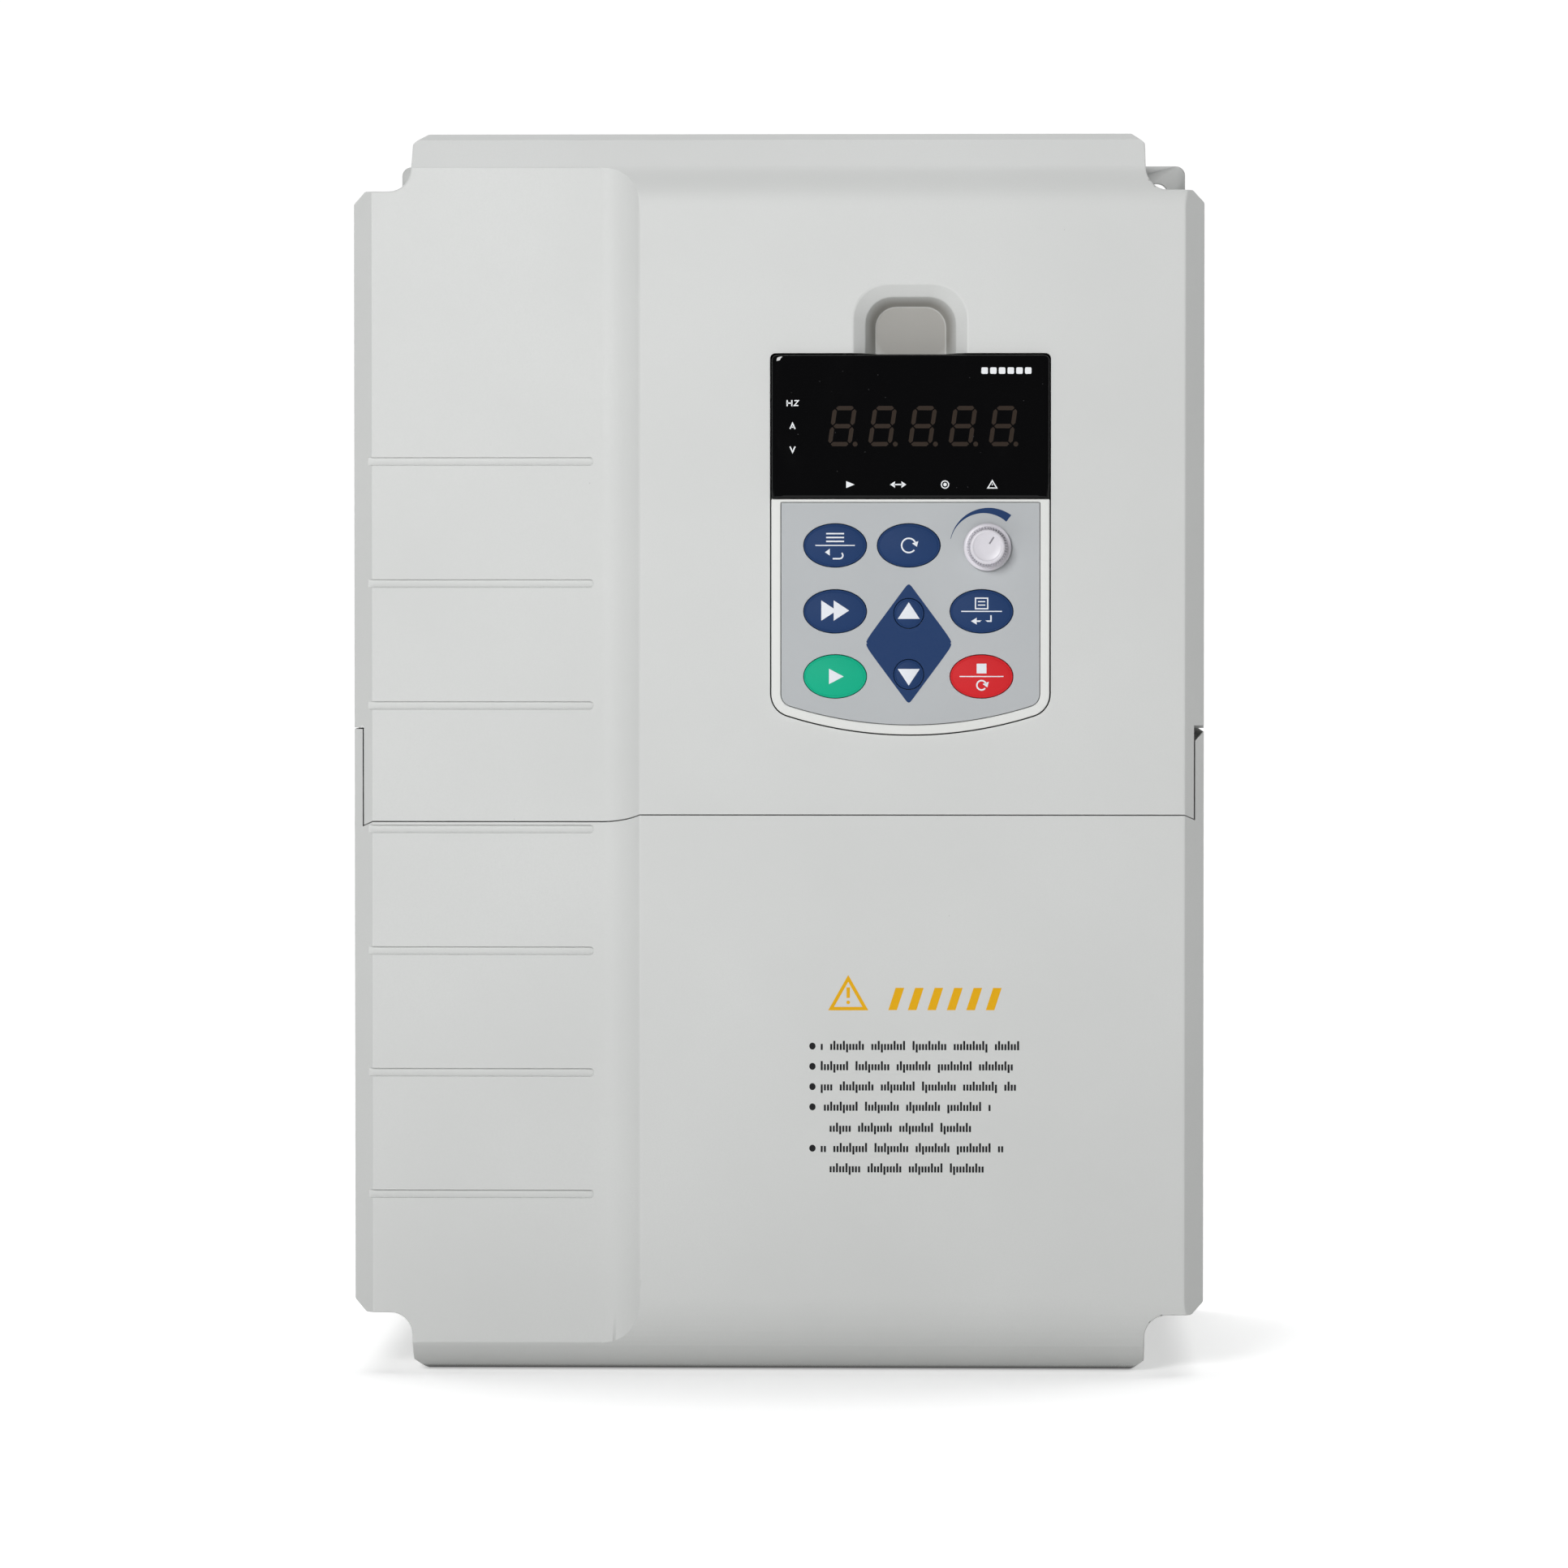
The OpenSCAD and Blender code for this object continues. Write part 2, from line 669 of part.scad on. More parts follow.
// Two ring current sensors over the output leads.
module current_sensors() {
    back = power_y - board_t;
    color([0.15, 0.2, 0.4]) for (x = [-40, -10]) difference() {
        block([x - 10, x + 10], [back - 24, back], [-66, -50]);
        translate([x, back - 14, -67]) cylinder(r = 5, h = 20);
    }
}

// Barrier terminal block along the bottom of the power board.
module power_terminal_block() {
    x0 = -terminal_count * terminal_pitch / 2;
    color([0.09, 0.09, 0.1]) difference() {
        block([x0 - 2, -x0 + 2], [-118, mid_back - floor_t], [-136, -108]);
        for (i = [0:terminal_count - 1]) block([x0 + i * terminal_pitch + 1.4,
            x0 + (i + 1) * terminal_pitch - 1.4],
            [-119, -106], [-137, -114]);
    }
}

module power_terminal_screws() {
    x0 = -(terminal_count - 1) * terminal_pitch / 2;
    color([0.78, 0.77, 0.7]) for (i = [0:terminal_count - 1]) {
        x = x0 + i * terminal_pitch;
        block([x - 6.8, x + 6.8], [-107.2, -106], [-134, -115]);
        screw(x, -125, -107.2, 2.5, 1.2);
    }
}

// Earthing bar beside the cable entries.
module earth_bar() {
    color([0.72, 0.73, 0.74]) difference() {
        block([86, 97], [mid_back - floor_t - 8, mid_back - floor_t], [-133.5, -108]);
        for (z = [-127, -114]) peg(91.5, z, 2.1, -91, -80);
    }
}

module earth_screws() {
    color([0.2, 0.55, 0.25]) for (z = [-127, -114]) screw(91.5, z, mid_back - floor_t - 8, 2, 7.5);
}

// ---------- control section ----------

module insulation_sheet() {
    color([0.85, 0.85, 0.8, 0.8]) difference() {
        block([-9.5, 93], [-137.4, -136.6], [-100, 96]);
        for (p = pillar_places) peg(p[0], p[1], 3.4, -139, -135);
    }
}

module board_pillars() {
    color([0.8, 0.68, 0.4]) for (p = pillar_places) difference() {
        translate([p[0], power_y - board_t, p[1]]) rotate([90, 0, 0])
            cylinder(r = 3.2, h = power_y - board_t - control_y, $fn = 6);
        peg(p[0], p[1], 1.55, control_y - 1, control_y + 8);
    }
}

module control_board() {
    color([0.1, 0.3, 0.45]) difference() {
        block(control_x, [control_y - board_t, control_y], control_z);
        for (p = pillar_places) peg(p[0], p[1], 1.7, control_y - 3, control_y + 1);
    }
}

module control_board_screws() {
    color([0.7, 0.7, 0.72]) for (p = pillar_places) screw(p[0], p[1], control_y - board_t, 1.5, 7);
}

// Two rows of screw terminals for the control wiring.
module control_terminals() {
    x0 = 3;
    back = control_y - board_t;
    color([0.15, 0.45, 0.25]) for (z = [-88, -74]) difference() {
        block([x0, x0 + strip_count * strip_pitch], [back - 12, back], [z - 4, z + 4]);
        for (i = [0:strip_count - 1]) {
            peg(x0 + (i + 0.5) * strip_pitch, z + 0.8, 1.8, back - 13, back - 9);
            block([x0 + (i + 0.5) * strip_pitch - 1.7, x0 + (i + 0.5) * strip_pitch + 1.7],
                [back - 8.2, back - 3.5],
                [z - 5, z - 1.4]);
        }
    }
}

module control_terminal_screws() {
    x0 = 3;
    back = control_y - board_t;
    color([0.75, 0.75, 0.75]) for (z = [-88, -74], i = [0:strip_count - 1])
        difference() {
            peg(x0 + (i + 0.5) * strip_pitch, z + 0.8, 1.6, back - 10.2, back - 9);
            translate([x0 + (i + 0.5) * strip_pitch, back - 10.2, z + 0.8]) rotate([0, 25, 0])
                cube([3.4, 0.8, 0.5], center = true);
        }
}

module signal_relay() {
    back = control_y - board_t;
    color([0.1, 0.15, 0.3]) for (x = [66, 81]) block([x - 6, x + 6], [back - 12, back], [-64, -46]);
}

// Processor and its helpers.
module control_chips() {
    back = control_y - board_t;
    color([0.06, 0.06, 0.07]) {
        block([30, 46], [back - 1.6, back], [-8, 8]);
        for (x = [4, 16]) block([x, x + 8], [back - 1.8, back], [-34, -22]);
        for (z = [-56, -44, 20]) block([28, 38], [back - 2.2, back], [z, z + 6]);
        for (x = [6, 14, 22]) peg(x, -58, 3, back - 7, back);
    }
}

// Flat cable between the two boards.
module ribbon_cable() {
    back = power_y - board_t;
    turn_y = -149.6;
    color([0.6, 0.62, 0.65]) {
        block([-16, -10.8], [back - 8, back], [20, 50]);
        block([-12.6, -11.8], [turn_y, back - 7], [22, 48]);
        block([-12.6, -4], [turn_y - 0.8, turn_y], [22, 48]);
        block([-9, -1], [turn_y - 0.01, control_y - board_t], [21, 49]);
    }
}

module keypad_socket() {
    back = control_y - board_t;
    color([0.1, 0.1, 0.11]) difference() {
        block([pad_x - 8, pad_x + 8], [-153, back], [plug_z - 7, plug_z + 7]);
        block([pad_x - 6, pad_x + 6], [-154, -145], [plug_z - 4, plug_z + 4]);
    }
}

module charge_lamp() {
    back = power_y - board_t;
    color([0.8, 0.1, 0.1]) union() {
        peg(-60, -90, 2.5, back - 6, back);
        translate([-60, back - 6, -90]) sphere(r = 2.5);
    }
}

module upper_cover_screws() {
    color([0.7, 0.7, 0.72]) for (x = cover_post_x) {
        peg(x, cover_post_z, 1.45, -112, mid_back + 0.01);
        peg(x, cover_post_z, 2.7, mid_back, mid_back + 1.9);
    }
}

// ---------- keypad ----------

module keypad_front() {
    color([0.9, 0.9, 0.89]) difference() {
        union() {
            difference() {
                slab(pad_face_y, pad_split_y) pad_outline();
                slab(-174, pad_split_y + 1) pad_outline(-2);
            }
            for (p = pad_screw_places) peg(p[0], p[1], 2.6, -174.5, board_y);
        }
        slab(pad_face_y - 1, overlay_y + overlay_t) overlay_outline(0.15);
        slab(pad_face_y - 1, -175) window_outline(0.1);
        slab(pad_face_y - 1, pad_split_y) translate([pad_x, 80.4]) square([54, 19], center = true);
        slab(pad_face_y - 1, pad_split_y) key_openings(0.35);
        peg(knob_x, knob_z, 3.6, pad_face_y - 1, pad_split_y);
        block([pad_x - 8.5, pad_x + 8.5], [-176, pad_split_y + 1], [latch_room_z, pad_top_z + 1]);
        for (p = pad_screw_places) peg(p[0], p[1], 1.3, -171, board_y + 1);
    }
}

// Back shell of the keypad, with ears for the latch pivot.
module keypad_back() {
    color([0.78, 0.79, 0.79]) difference() {
        union() {
            difference() {
                slab(pad_split_y, pad_back_y) pad_outline();
                slab(pad_split_y - 1, pad_back_y - 2) pad_outline(-2);
            }
            for (p = pad_screw_places) peg(p[0], p[1], 3.4, board_y + board_t, pad_back_y - 1.9);
            for (s = [-1, 1]) block([pad_x + s * 9.8 - 1.2, pad_x + s * 9.8 + 1.2], [latch_y - 2,
                pad_back_y - 1],
                [latch_z - 2, pad_top_z - 1.9]);
        }
        block([pad_x - 8.5, pad_x + 8.5], [pad_split_y - 1, pad_back_y + 1], [latch_room_z, pad_top_z + 1]);
        peg_x(latch_y, latch_z, 0.85, pad_x - 12, pad_x + 12);
        for (p = pad_screw_places) {
            peg(p[0], p[1], 1.4, pad_split_y - 1, pad_back_y + 1);
            peg(p[0], p[1], 2.7, pad_back_y - 1.4, pad_back_y + 1);
        }
        block([pad_x - 6, pad_x + 6], [pad_back_y - 3, pad_back_y + 1], [plug_z - 4, plug_z + 4]);
    }
}

// A cylinder along x.
module peg_x(y, z, r, x0, x1) {
    translate([x0, y, z]) rotate([0, 90, 0]) cylinder(r = r, h = x1 - x0);
}

module window_outline(g = 0) {
    intersection() {
        pad_outline(g);
        translate([-10, window_z - g]) square([100, 100]);
    }
}

module keypad_window() {
    color([0.02, 0.02, 0.03]) slab(-177.2, -175.1) window_outline(-0.05);
}

module keypad_overlay() {
    color([0.73, 0.75, 0.77]) difference() {
        slab(overlay_y, overlay_y + overlay_t) overlay_outline();
        slab(overlay_y - 1, overlay_y + 2) key_openings(0.15);
        peg(knob_x, knob_z, 3.4, overlay_y - 1, overlay_y + 2);
    }
}

module keypad_board() {
    color([0.1, 0.35, 0.2]) difference() {
        slab(board_y, board_y + board_t) translate([pad_x, 54]) square([62, 82], center = true);
        for (p = pad_screw_places) peg(p[0], p[1], 1.6, board_y - 1, board_y + 3);
        block([pad_x - 12, pad_x + 12], [board_y - 1, board_y + 3], [latch_room_z - 1, pad_top_z + 1]);
    }
}

module keypad_plug() {
    color([0.12, 0.12, 0.13]) block([pad_x - 5.7, pad_x + 5.7], [board_y + board_t, -146.2],
        [plug_z - 3.7, plug_z + 3.7]);
}

// Five-digit display under the window.
module display_module() {
    color([0.1, 0.1, 0.1]) difference() {
        block([pad_x - 26, pad_x + 26], [-174.9, board_y], [71.6, 89.2]);
        for (i = [0:4]) translate([15.9 + 9.92 * i, -174.9, 80.4]) difference() {
            cube([5.6, 0.6, 9.8], center = true);
            for (z = [-2.3, 2.3]) translate([0, 0, z]) cube([3.4, 2, 3.4], center = true);
        }
    }
}

module tact_switches() {
    color([0.15, 0.15, 0.16]) {
        for (ix = [0:2], iz = [0:2])
            if (!(ix == 1 && iz > 0) && !(ix == 2 && iz == 0)) tact_switch(key_x[ix], key_z[iz]);
        for (z = arrow_z) tact_switch(key_x[1], z);
    }
}

module tact_switch(x, z) {
    block([x - 3, x + 3], [board_y - 3.4, board_y], [z - 3, z + 3]);
    peg(x, z, 1.7, board_y - 4.2, board_y - 3.39);
}

module keypad_screws() {
    seat_y = pad_back_y - 1.4;
    color([0.7, 0.7, 0.72]) for (p = pad_screw_places) difference() {
        union() {
            peg(p[0], p[1], 1.25, -170, seat_y + 0.01);
            peg(p[0], p[1], 2.4, seat_y, seat_y + 1.2);
        }
        translate([p[0], seat_y + 1.2, p[1]]) cube([3.6, 0.8, 0.5], center = true);
    }
}

module potentiometer() {
    color([0.3, 0.3, 0.32]) difference() {
        union() {
            block([knob_x - 5, knob_x + 5], [board_y - 5, board_y], [knob_z - 5.5, knob_z + 5.5]);
            peg(knob_x, knob_z, 3.5, -175.5, board_y - 4.99);
        }
        peg(knob_x, knob_z, 2.05, -176.5, board_y - 1);
    }
}

module pot_shaft() {
    color([0.55, 0.55, 0.57]) peg(knob_x, knob_z, 2, -183.5, board_y - 1.5);
}

// Speed knob with a ribbed skirt and a pointer mark.
module speed_knob() {
    rib_count = 40;
    color([0.86, 0.85, 0.88]) difference() {
        union() {
            peg(knob_x, knob_z, knob_r, -178.9, -177.3);
            translate([knob_x, -178.89, knob_z]) rotate([90, 0, 0]) cylinder(r1 = 4.9, r2 = 4.1, h = 6.1);
            for (i = [0:rib_count - 1]) translate([knob_x, -178.89, knob_z]) rotate([90,
                360 * i / rib_count, 0])
                translate([3.9, 0, 0]) rotate([0, -7.5, 0]) translate([0, -0.18, 0]) cube([1.15, 0.36,
                    5.4]);
        }
        peg(knob_x, knob_z, 2, -183.5, -177);
        translate([knob_x, -185, knob_z]) rotate([0, 33, 0]) translate([-0.4, -0.4, 1.4]) cube([0.8,
            0.8, 1.9]);
    }
}

// Sprung tongue at the top of the keypad, pressed down from the finger recess to free the keypad.
module keypad_latch() {
    top = pad_top_z - 0.3;
    color([0.88, 0.88, 0.87]) {
        block([pad_x - 8, pad_x + 8], [-174.3, -158.6], [top - 1.6, top]);
        block([pad_x - 8, pad_x + 8], [-174.3, -172.3], [top - 2.9, top]);
        block([pad_x - 8, pad_x + 8], [latch_y - 1, latch_y + 1], [latch_z, top - 1]);
        peg_x(latch_y, latch_z, 0.8, pad_x - 10.8, pad_x + 10.8);
    }
}

// Oval key cap with a domed face and a plunger behind it.
module oval_key(x, z) {
    steps = 4;
    union() {
        translate([x, 0, z]) {
            slab(-177, key_seat_y) polygon(ellipse_points(key_a, key_b));
            for (i = [1:steps]) slab(-177 - 0.16 * i, -176.9)
                polygon(ellipse_points(key_a * cos(14 * i), key_b * cos(15 * i)));
        }
        peg(x, z, 1.6, key_seat_y - 0.01, board_y - 5.2);
    }
}

module arrow_key(z) {
    x = key_x[1];
    union() {
        peg(x, z, arrow_r, -177.1, key_seat_y);
        peg(x, z, arrow_r - 0.6, -177.35, -177);
        peg(x, z, 1.6, key_seat_y - 0.01, board_y - 5.2);
    }
}

// ---------- nodes ----------

rear_housing();
mid_housing();
upper_cover();
lower_cover();
housing_screws();
cable_plate();
cable_grommets();
heatsink();
fan_frame(-fan_x);  // fan_frame_left
fan_frame(fan_x);  // fan_frame_right
fan_rotor(-fan_x);  // fan_rotor_left
fan_rotor(fan_x);  // fan_rotor_right
fan_cover();
fan_screws();
rectifier_module();
inverter_module();
module_screws();
power_board();
power_board_screws();
dc_capacitors();
power_relay();
current_sensors();
power_terminal_block();
power_terminal_screws();
earth_bar();
earth_screws();
control_board();
board_pillars();
control_board_screws();
insulation_sheet();
control_terminals();
control_terminal_screws();
signal_relay();
control_chips();
ribbon_cable();
keypad_socket();
charge_lamp();
upper_cover_screws();
keypad_front();
keypad_back();
keypad_window();
keypad_overlay();
keypad_board();
keypad_plug();
display_module();
tact_switches();
keypad_screws();
potentiometer();
pot_shaft();
speed_knob();
keypad_latch();
color(navy) oval_key(key_x[0], key_z[0]);  // key_program
color(navy) oval_key(key_x[1], key_z[0]);  // key_jog
color(navy) oval_key(key_x[0], key_z[1]);  // key_shift
color(navy) oval_key(key_x[2], key_z[1]);  // key_enter
color([0.05, 0.68, 0.5]) oval_key(key_x[0], key_z[2]);  // key_run
color([0.85, 0.12, 0.14]) oval_key(key_x[2], key_z[2]);  // key_stop
color(navy) arrow_key(arrow_z[0]);  // key_up
color(navy) arrow_key(arrow_z[1]);  // key_down
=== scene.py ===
# %% [markdown]
# # A wall-mounted motor drive, built around its working model
# The working model fixes every size and every joint. This lesson gives each of its pieces a finished
# surface: softened edges, real materials, printed marks, moulded keys and a knob.
# Lengths are in metres. +X is to the right, -Y is the front and +Z is up.

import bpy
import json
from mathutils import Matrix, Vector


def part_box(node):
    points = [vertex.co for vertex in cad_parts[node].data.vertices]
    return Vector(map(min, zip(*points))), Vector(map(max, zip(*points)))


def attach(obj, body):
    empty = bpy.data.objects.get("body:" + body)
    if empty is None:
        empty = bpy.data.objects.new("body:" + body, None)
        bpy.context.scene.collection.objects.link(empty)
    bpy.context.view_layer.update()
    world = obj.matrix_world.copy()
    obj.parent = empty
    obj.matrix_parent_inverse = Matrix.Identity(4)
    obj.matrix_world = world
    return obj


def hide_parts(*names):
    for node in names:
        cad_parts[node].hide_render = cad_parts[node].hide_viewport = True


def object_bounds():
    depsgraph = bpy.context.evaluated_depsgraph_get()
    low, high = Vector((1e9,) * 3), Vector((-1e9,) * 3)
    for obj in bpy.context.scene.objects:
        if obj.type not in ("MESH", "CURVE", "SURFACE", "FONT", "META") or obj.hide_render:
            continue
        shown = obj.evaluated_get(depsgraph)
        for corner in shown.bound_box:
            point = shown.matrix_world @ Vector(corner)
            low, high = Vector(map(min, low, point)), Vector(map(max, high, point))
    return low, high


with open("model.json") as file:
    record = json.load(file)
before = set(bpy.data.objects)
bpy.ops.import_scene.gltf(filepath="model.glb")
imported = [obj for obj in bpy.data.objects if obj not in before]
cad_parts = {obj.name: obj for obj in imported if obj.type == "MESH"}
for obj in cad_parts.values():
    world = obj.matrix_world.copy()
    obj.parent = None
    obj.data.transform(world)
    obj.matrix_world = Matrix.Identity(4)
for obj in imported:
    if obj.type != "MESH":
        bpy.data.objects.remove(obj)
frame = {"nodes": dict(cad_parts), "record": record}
cad_box = [list(corner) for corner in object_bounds()]

import json
import math
import bmesh
import bpy
import numpy as np

MM = 0.001
nodes = frame["nodes"]
body_of_node = {n: b for b, names in frame["record"]["behaviour"]["bodies"].items() for n in names}
slot_of_node = {p["node"]: p["material_slot"] for p in frame["record"]["subparts"]}

# %% [markdown]
# ## Camera
# The drive is seen square on from about two metres, a little from its right and from above its middle.
# A long lens keeps its sides parallel, which is how equipment like this is usually shown.
# The camera is aimed at a point near the middle of the front face, so no lens shift is needed.

# %% Camera
low, high = (np.array(c) for c in cad_box)
front_y = -0.176
camera = bpy.data.objects.new("camera", bpy.data.cameras.new("camera"))
bpy.context.scene.collection.objects.link(camera)
camera.location = (0.046, front_y - 1.854, 0.0425)
aim = np.array([0.0016, front_y, -0.0075])


def look_at(place, target):
    """Rotation that points a camera's or light's -Z axis from place to target, with +Z up in the picture."""
    from mathutils import Vector
    return (Vector(target) - Vector(place)).to_track_quat("-Z", "Y").to_euler()


camera.rotation_euler = look_at(camera.location, aim)
camera.data.lens = 173
camera.data.sensor_width = 36
camera.data.clip_end = 50
bpy.context.scene.camera = camera
print("camera is", round(float(np.linalg.norm(np.array(camera.location) - aim)), 3), "m from its aim")

# %% [markdown]
# ## Light and floor
# A large soft light stands in front, to the left and a little above. It models the chamfers and the cove: the
# left chamfer stays bright and the right one turns to mid grey. A wide overhead light, slightly behind, lays the
# soft shadow in front of the drive. Two weak lights from behind only touch the sides and the back.
# The floor is plain and nearly white. Its own faint glow stands for the lit backdrop round it.

# %% Lights
def distant(name, towards, strength, spread):
    """A light from far away that shines along towards. spread is how wide it looks, in degrees."""
    lamp = bpy.data.objects.new(name, bpy.data.lights.new(name, "SUN"))
    lamp.data.energy = strength
    lamp.data.angle = math.radians(spread)
    lamp.rotation_euler = look_at((0, 0, 0), towards)
    bpy.context.scene.collection.objects.link(lamp)
    return lamp


def softbox(name, place, target, size, power):
    """A square area light of that size, aimed at target."""
    lamp = bpy.data.objects.new(name, bpy.data.lights.new(name, "AREA"))
    lamp.data.size = size
    lamp.data.energy = power
    lamp.location = place
    lamp.rotation_euler = look_at(place, target)
    bpy.context.scene.collection.objects.link(lamp)
    return lamp


middle = np.array([0.0, front_y, 0.0])
softbox("key_light", middle + 1.35 * np.array([-0.225, -0.94, 0.26]), middle, 0.36, 10.7)
distant("top_light", (0.0, -0.36, -0.93), 1.75, 50)
distant("rear_left", (0.68, -0.68, -0.28), 0.9, 50)
distant("rear_right", (-0.68, -0.68, -0.28), 0.9, 50)

# %% Backdrop and floor
world = bpy.data.worlds.new("studio")
bpy.context.scene.world = world
world.use_nodes = True
sky = world.node_tree.nodes
sky["Background"].inputs["Color"].default_value = (0.97, 0.985, 1, 1)
sky["Background"].inputs["Strength"].default_value = 0.10
shown = sky.new("ShaderNodeBackground")
shown.inputs["Color"].default_value = (1, 1, 1, 1)
shown.inputs["Strength"].default_value = 1.05
path = sky.new("ShaderNodeLightPath")
pick = sky.new("ShaderNodeMixShader")
world.node_tree.links.new(path.outputs["Is Camera Ray"], pick.inputs[0])
world.node_tree.links.new(sky["Background"].outputs[0], pick.inputs[1])
world.node_tree.links.new(shown.outputs[0], pick.inputs[2])
world.node_tree.links.new(pick.outputs[0], sky["World Output"].inputs["Surface"])
bpy.context.scene.view_settings.view_transform = "Standard"

floor_mesh = bpy.data.meshes.new("floor")
reach = 6.0
floor_z = low[2]
floor_mesh.from_pydata([(-reach, -reach, floor_z), (reach, -reach, floor_z), (reach, reach, floor_z),
                        (-reach, reach, floor_z)], [], [(0, 1, 2, 3)])
floor = bpy.data.objects.new("floor", floor_mesh)
bpy.context.scene.collection.objects.link(floor)
print("floor at", round(float(floor_z), 4))

# %% [markdown]
# ## A small kit for materials
# Each finish is a node tree. Its patterns read Object coordinates, so they stay with the piece when it moves.
# `Tree` keeps the code short: it adds a node, sets its inputs and links it in one call.

# %% Material kit
class Tree:
    """A material's node tree with short ways to add and link nodes."""

    def __init__(self, name, **principled):
        self.material = bpy.data.materials.new(name)
        self.material.use_nodes = True
        self.nodes = self.material.node_tree.nodes
        self.links = self.material.node_tree.links
        self.shader = self.nodes["Principled BSDF"]
        for key, value in principled.items():
            self.shader.inputs[key.replace("_", " ")].default_value = value
        self.place = self.nodes.new("ShaderNodeTexCoord").outputs["Object"]

    def add(self, kind, settings=(), **inputs):
        """A node of that kind. Inputs given as sockets are linked, other values are set."""
        node = self.nodes.new("ShaderNode" + kind)
        for key, value in dict(settings).items():
            setattr(node, key, value)
        for key, value in inputs.items():
            socket = node.inputs[int(key[1:])] if key[0] == "i" and key[1:].isdigit() else node.inputs[key.replace("_", " ")]
            if isinstance(value, bpy.types.NodeSocket):
                self.links.new(value, socket)
            else:
                socket.default_value = value
        return node

    def noise(self, size, detail=2.0, place=None, roughness=0.5):
        """Cloudy noise whose features are about size metres wide."""
        return self.add("TexNoise", Vector=place or self.place, Scale=1 / size, Detail=detail,
                        Roughness=roughness).outputs["Fac"]

    def stretched(self, scale):
        """Object coordinates multiplied by scale on each axis."""
        return self.add("Mapping", Vector=self.place, Scale=scale).outputs["Vector"]

    def range(self, value, a, b, c, d):
        """value carried from a..b to c..d, held inside c..d."""
        return self.add("MapRange", Value=value, From_Min=a, From_Max=b, To_Min=c, To_Max=d).outputs["Result"]

    def maths(self, kind, a, b=0.0):
        return self.add("Math", {"operation": kind}, i0=a, i1=b).outputs[0]

    def mix(self, factor, a, b):
        """Colour a where factor is 0 and b where it is 1."""
        return self.add("Mix", {"data_type": "RGBA"}, i0=factor, i6=a, i7=b).outputs[2]

    def edge(self):
        """1 along the rounded edges of a piece and 0 on its flats, from the piece's own attribute."""
        return self.add("Attribute", {"attribute_name": "edge"}).outputs["Fac"]

    def colour(self, value):
        self.links.new(value, self.shader.inputs["Base Color"])

    def rough(self, value):
        self.links.new(value, self.shader.inputs["Roughness"])

    def bump(self, height, strength, distance, under=None):
        """Raises the surface by height times distance metres."""
        node = self.add("Bump", Height=height, Strength=strength, Distance=distance)
        if under is not None:
            self.links.new(under, node.inputs["Normal"])
        self.links.new(node.outputs["Normal"], self.shader.inputs["Normal"])
        return node.outputs["Normal"]


def tint(colour, factor):
    """The colour made lighter or darker by factor."""
    return tuple(min(1.0, c * factor) for c in colour[:3]) + (1.0,)


print("material kit ready")

# %% [markdown]
# ## Moulded plastic
# The covers are moulded in a spark-eroded tool, which leaves a fine dry grain of about a third of a
# millimetre. The colour drifts very slightly over a large cover, a few dark specks sit in the surface, and
# edges that hands touch are polished lighter and smoother.

# %% Plastics
def moulded(name, colour, roughness, grain=0.35 * MM, depth=0.02 * MM, drift=0.03, specks=0.0, edge_light=1.06,
            painted_gap_shade=0.0, shine=0.45, painted_shade_hollow=None):
    """Plastic with a fine moulded grain, a slow drift of colour, sparse specks and paler edges.
    painted_gap_shade is how far round a point is searched for walls: narrow joints and gaps, where little light
    reaches, are painted dark as painted shade.
    painted_shade_hollow is the middle of the finger recess, whose floor is painted darker as painted shade, more so
    deeper in."""
    t = Tree(name, Roughness=roughness, Specular_IOR_Level=shine)
    cloud = t.noise(0.06, 3)
    fine = t.noise(grain, 2, roughness=0.6)
    base = t.mix(t.range(cloud, 0.3, 0.7, 0, 1), tint(colour, 1 - drift), tint(colour, 1 + drift))
    base = t.mix(t.range(fine, 0.3, 0.7, 0, 0.5), base, tint(colour, 0.96))
    if specks:
        dots = t.add("TexVoronoi", Vector=t.place, Scale=1 / 0.012)
        where = t.maths("LESS_THAN", dots.outputs["Distance"], specks)
        base = t.mix(t.maths("MULTIPLY", where, 0.35), base, tint(colour, 0.45))
    # Painted shade: where walls close round a point, as in seams, gaps and grooves, the colour is darkened towards
    # near black.
    if painted_gap_shade:
        near = t.add("AmbientOcclusion", Distance=painted_gap_shade)
        near.samples = 6
        base = t.mix(t.range(near.outputs["AO"], 0.10, 0.30, 1, 0), base, tint(colour, 0.05))
    # Painted shade: the finger recess is painted darker round its middle and towards its floor, where little light
    # reaches.
    if painted_shade_hollow:
        apart = t.add("VectorMath", {"operation": "DISTANCE"}, i0=t.place)
        apart.inputs[1].default_value = painted_shade_hollow
        depth_in = t.add("SeparateXYZ", Vector=t.place).outputs["Y"]
        recess_shade = t.maths("MULTIPLY", t.range(apart.outputs["Value"], 0.010, 0.0145, 1, 0),
                       t.range(depth_in, painted_shade_hollow[1] - 0.004, painted_shade_hollow[1] + 0.001, 0, 0.75))
        base = t.mix(recess_shade, base, (0.25, 0.235, 0.21, 1))
    edge = t.edge()
    t.colour(t.mix(t.maths("MULTIPLY", edge, 0.6), base, tint(colour, edge_light)))
    rough = t.range(fine, 0.25, 0.75, roughness - 0.05, roughness + 0.07)
    t.rough(t.maths("SUBTRACT", rough, t.maths("MULTIPLY", edge, 0.12)))
    t.bump(fine, 0.35, depth)
    return t.material


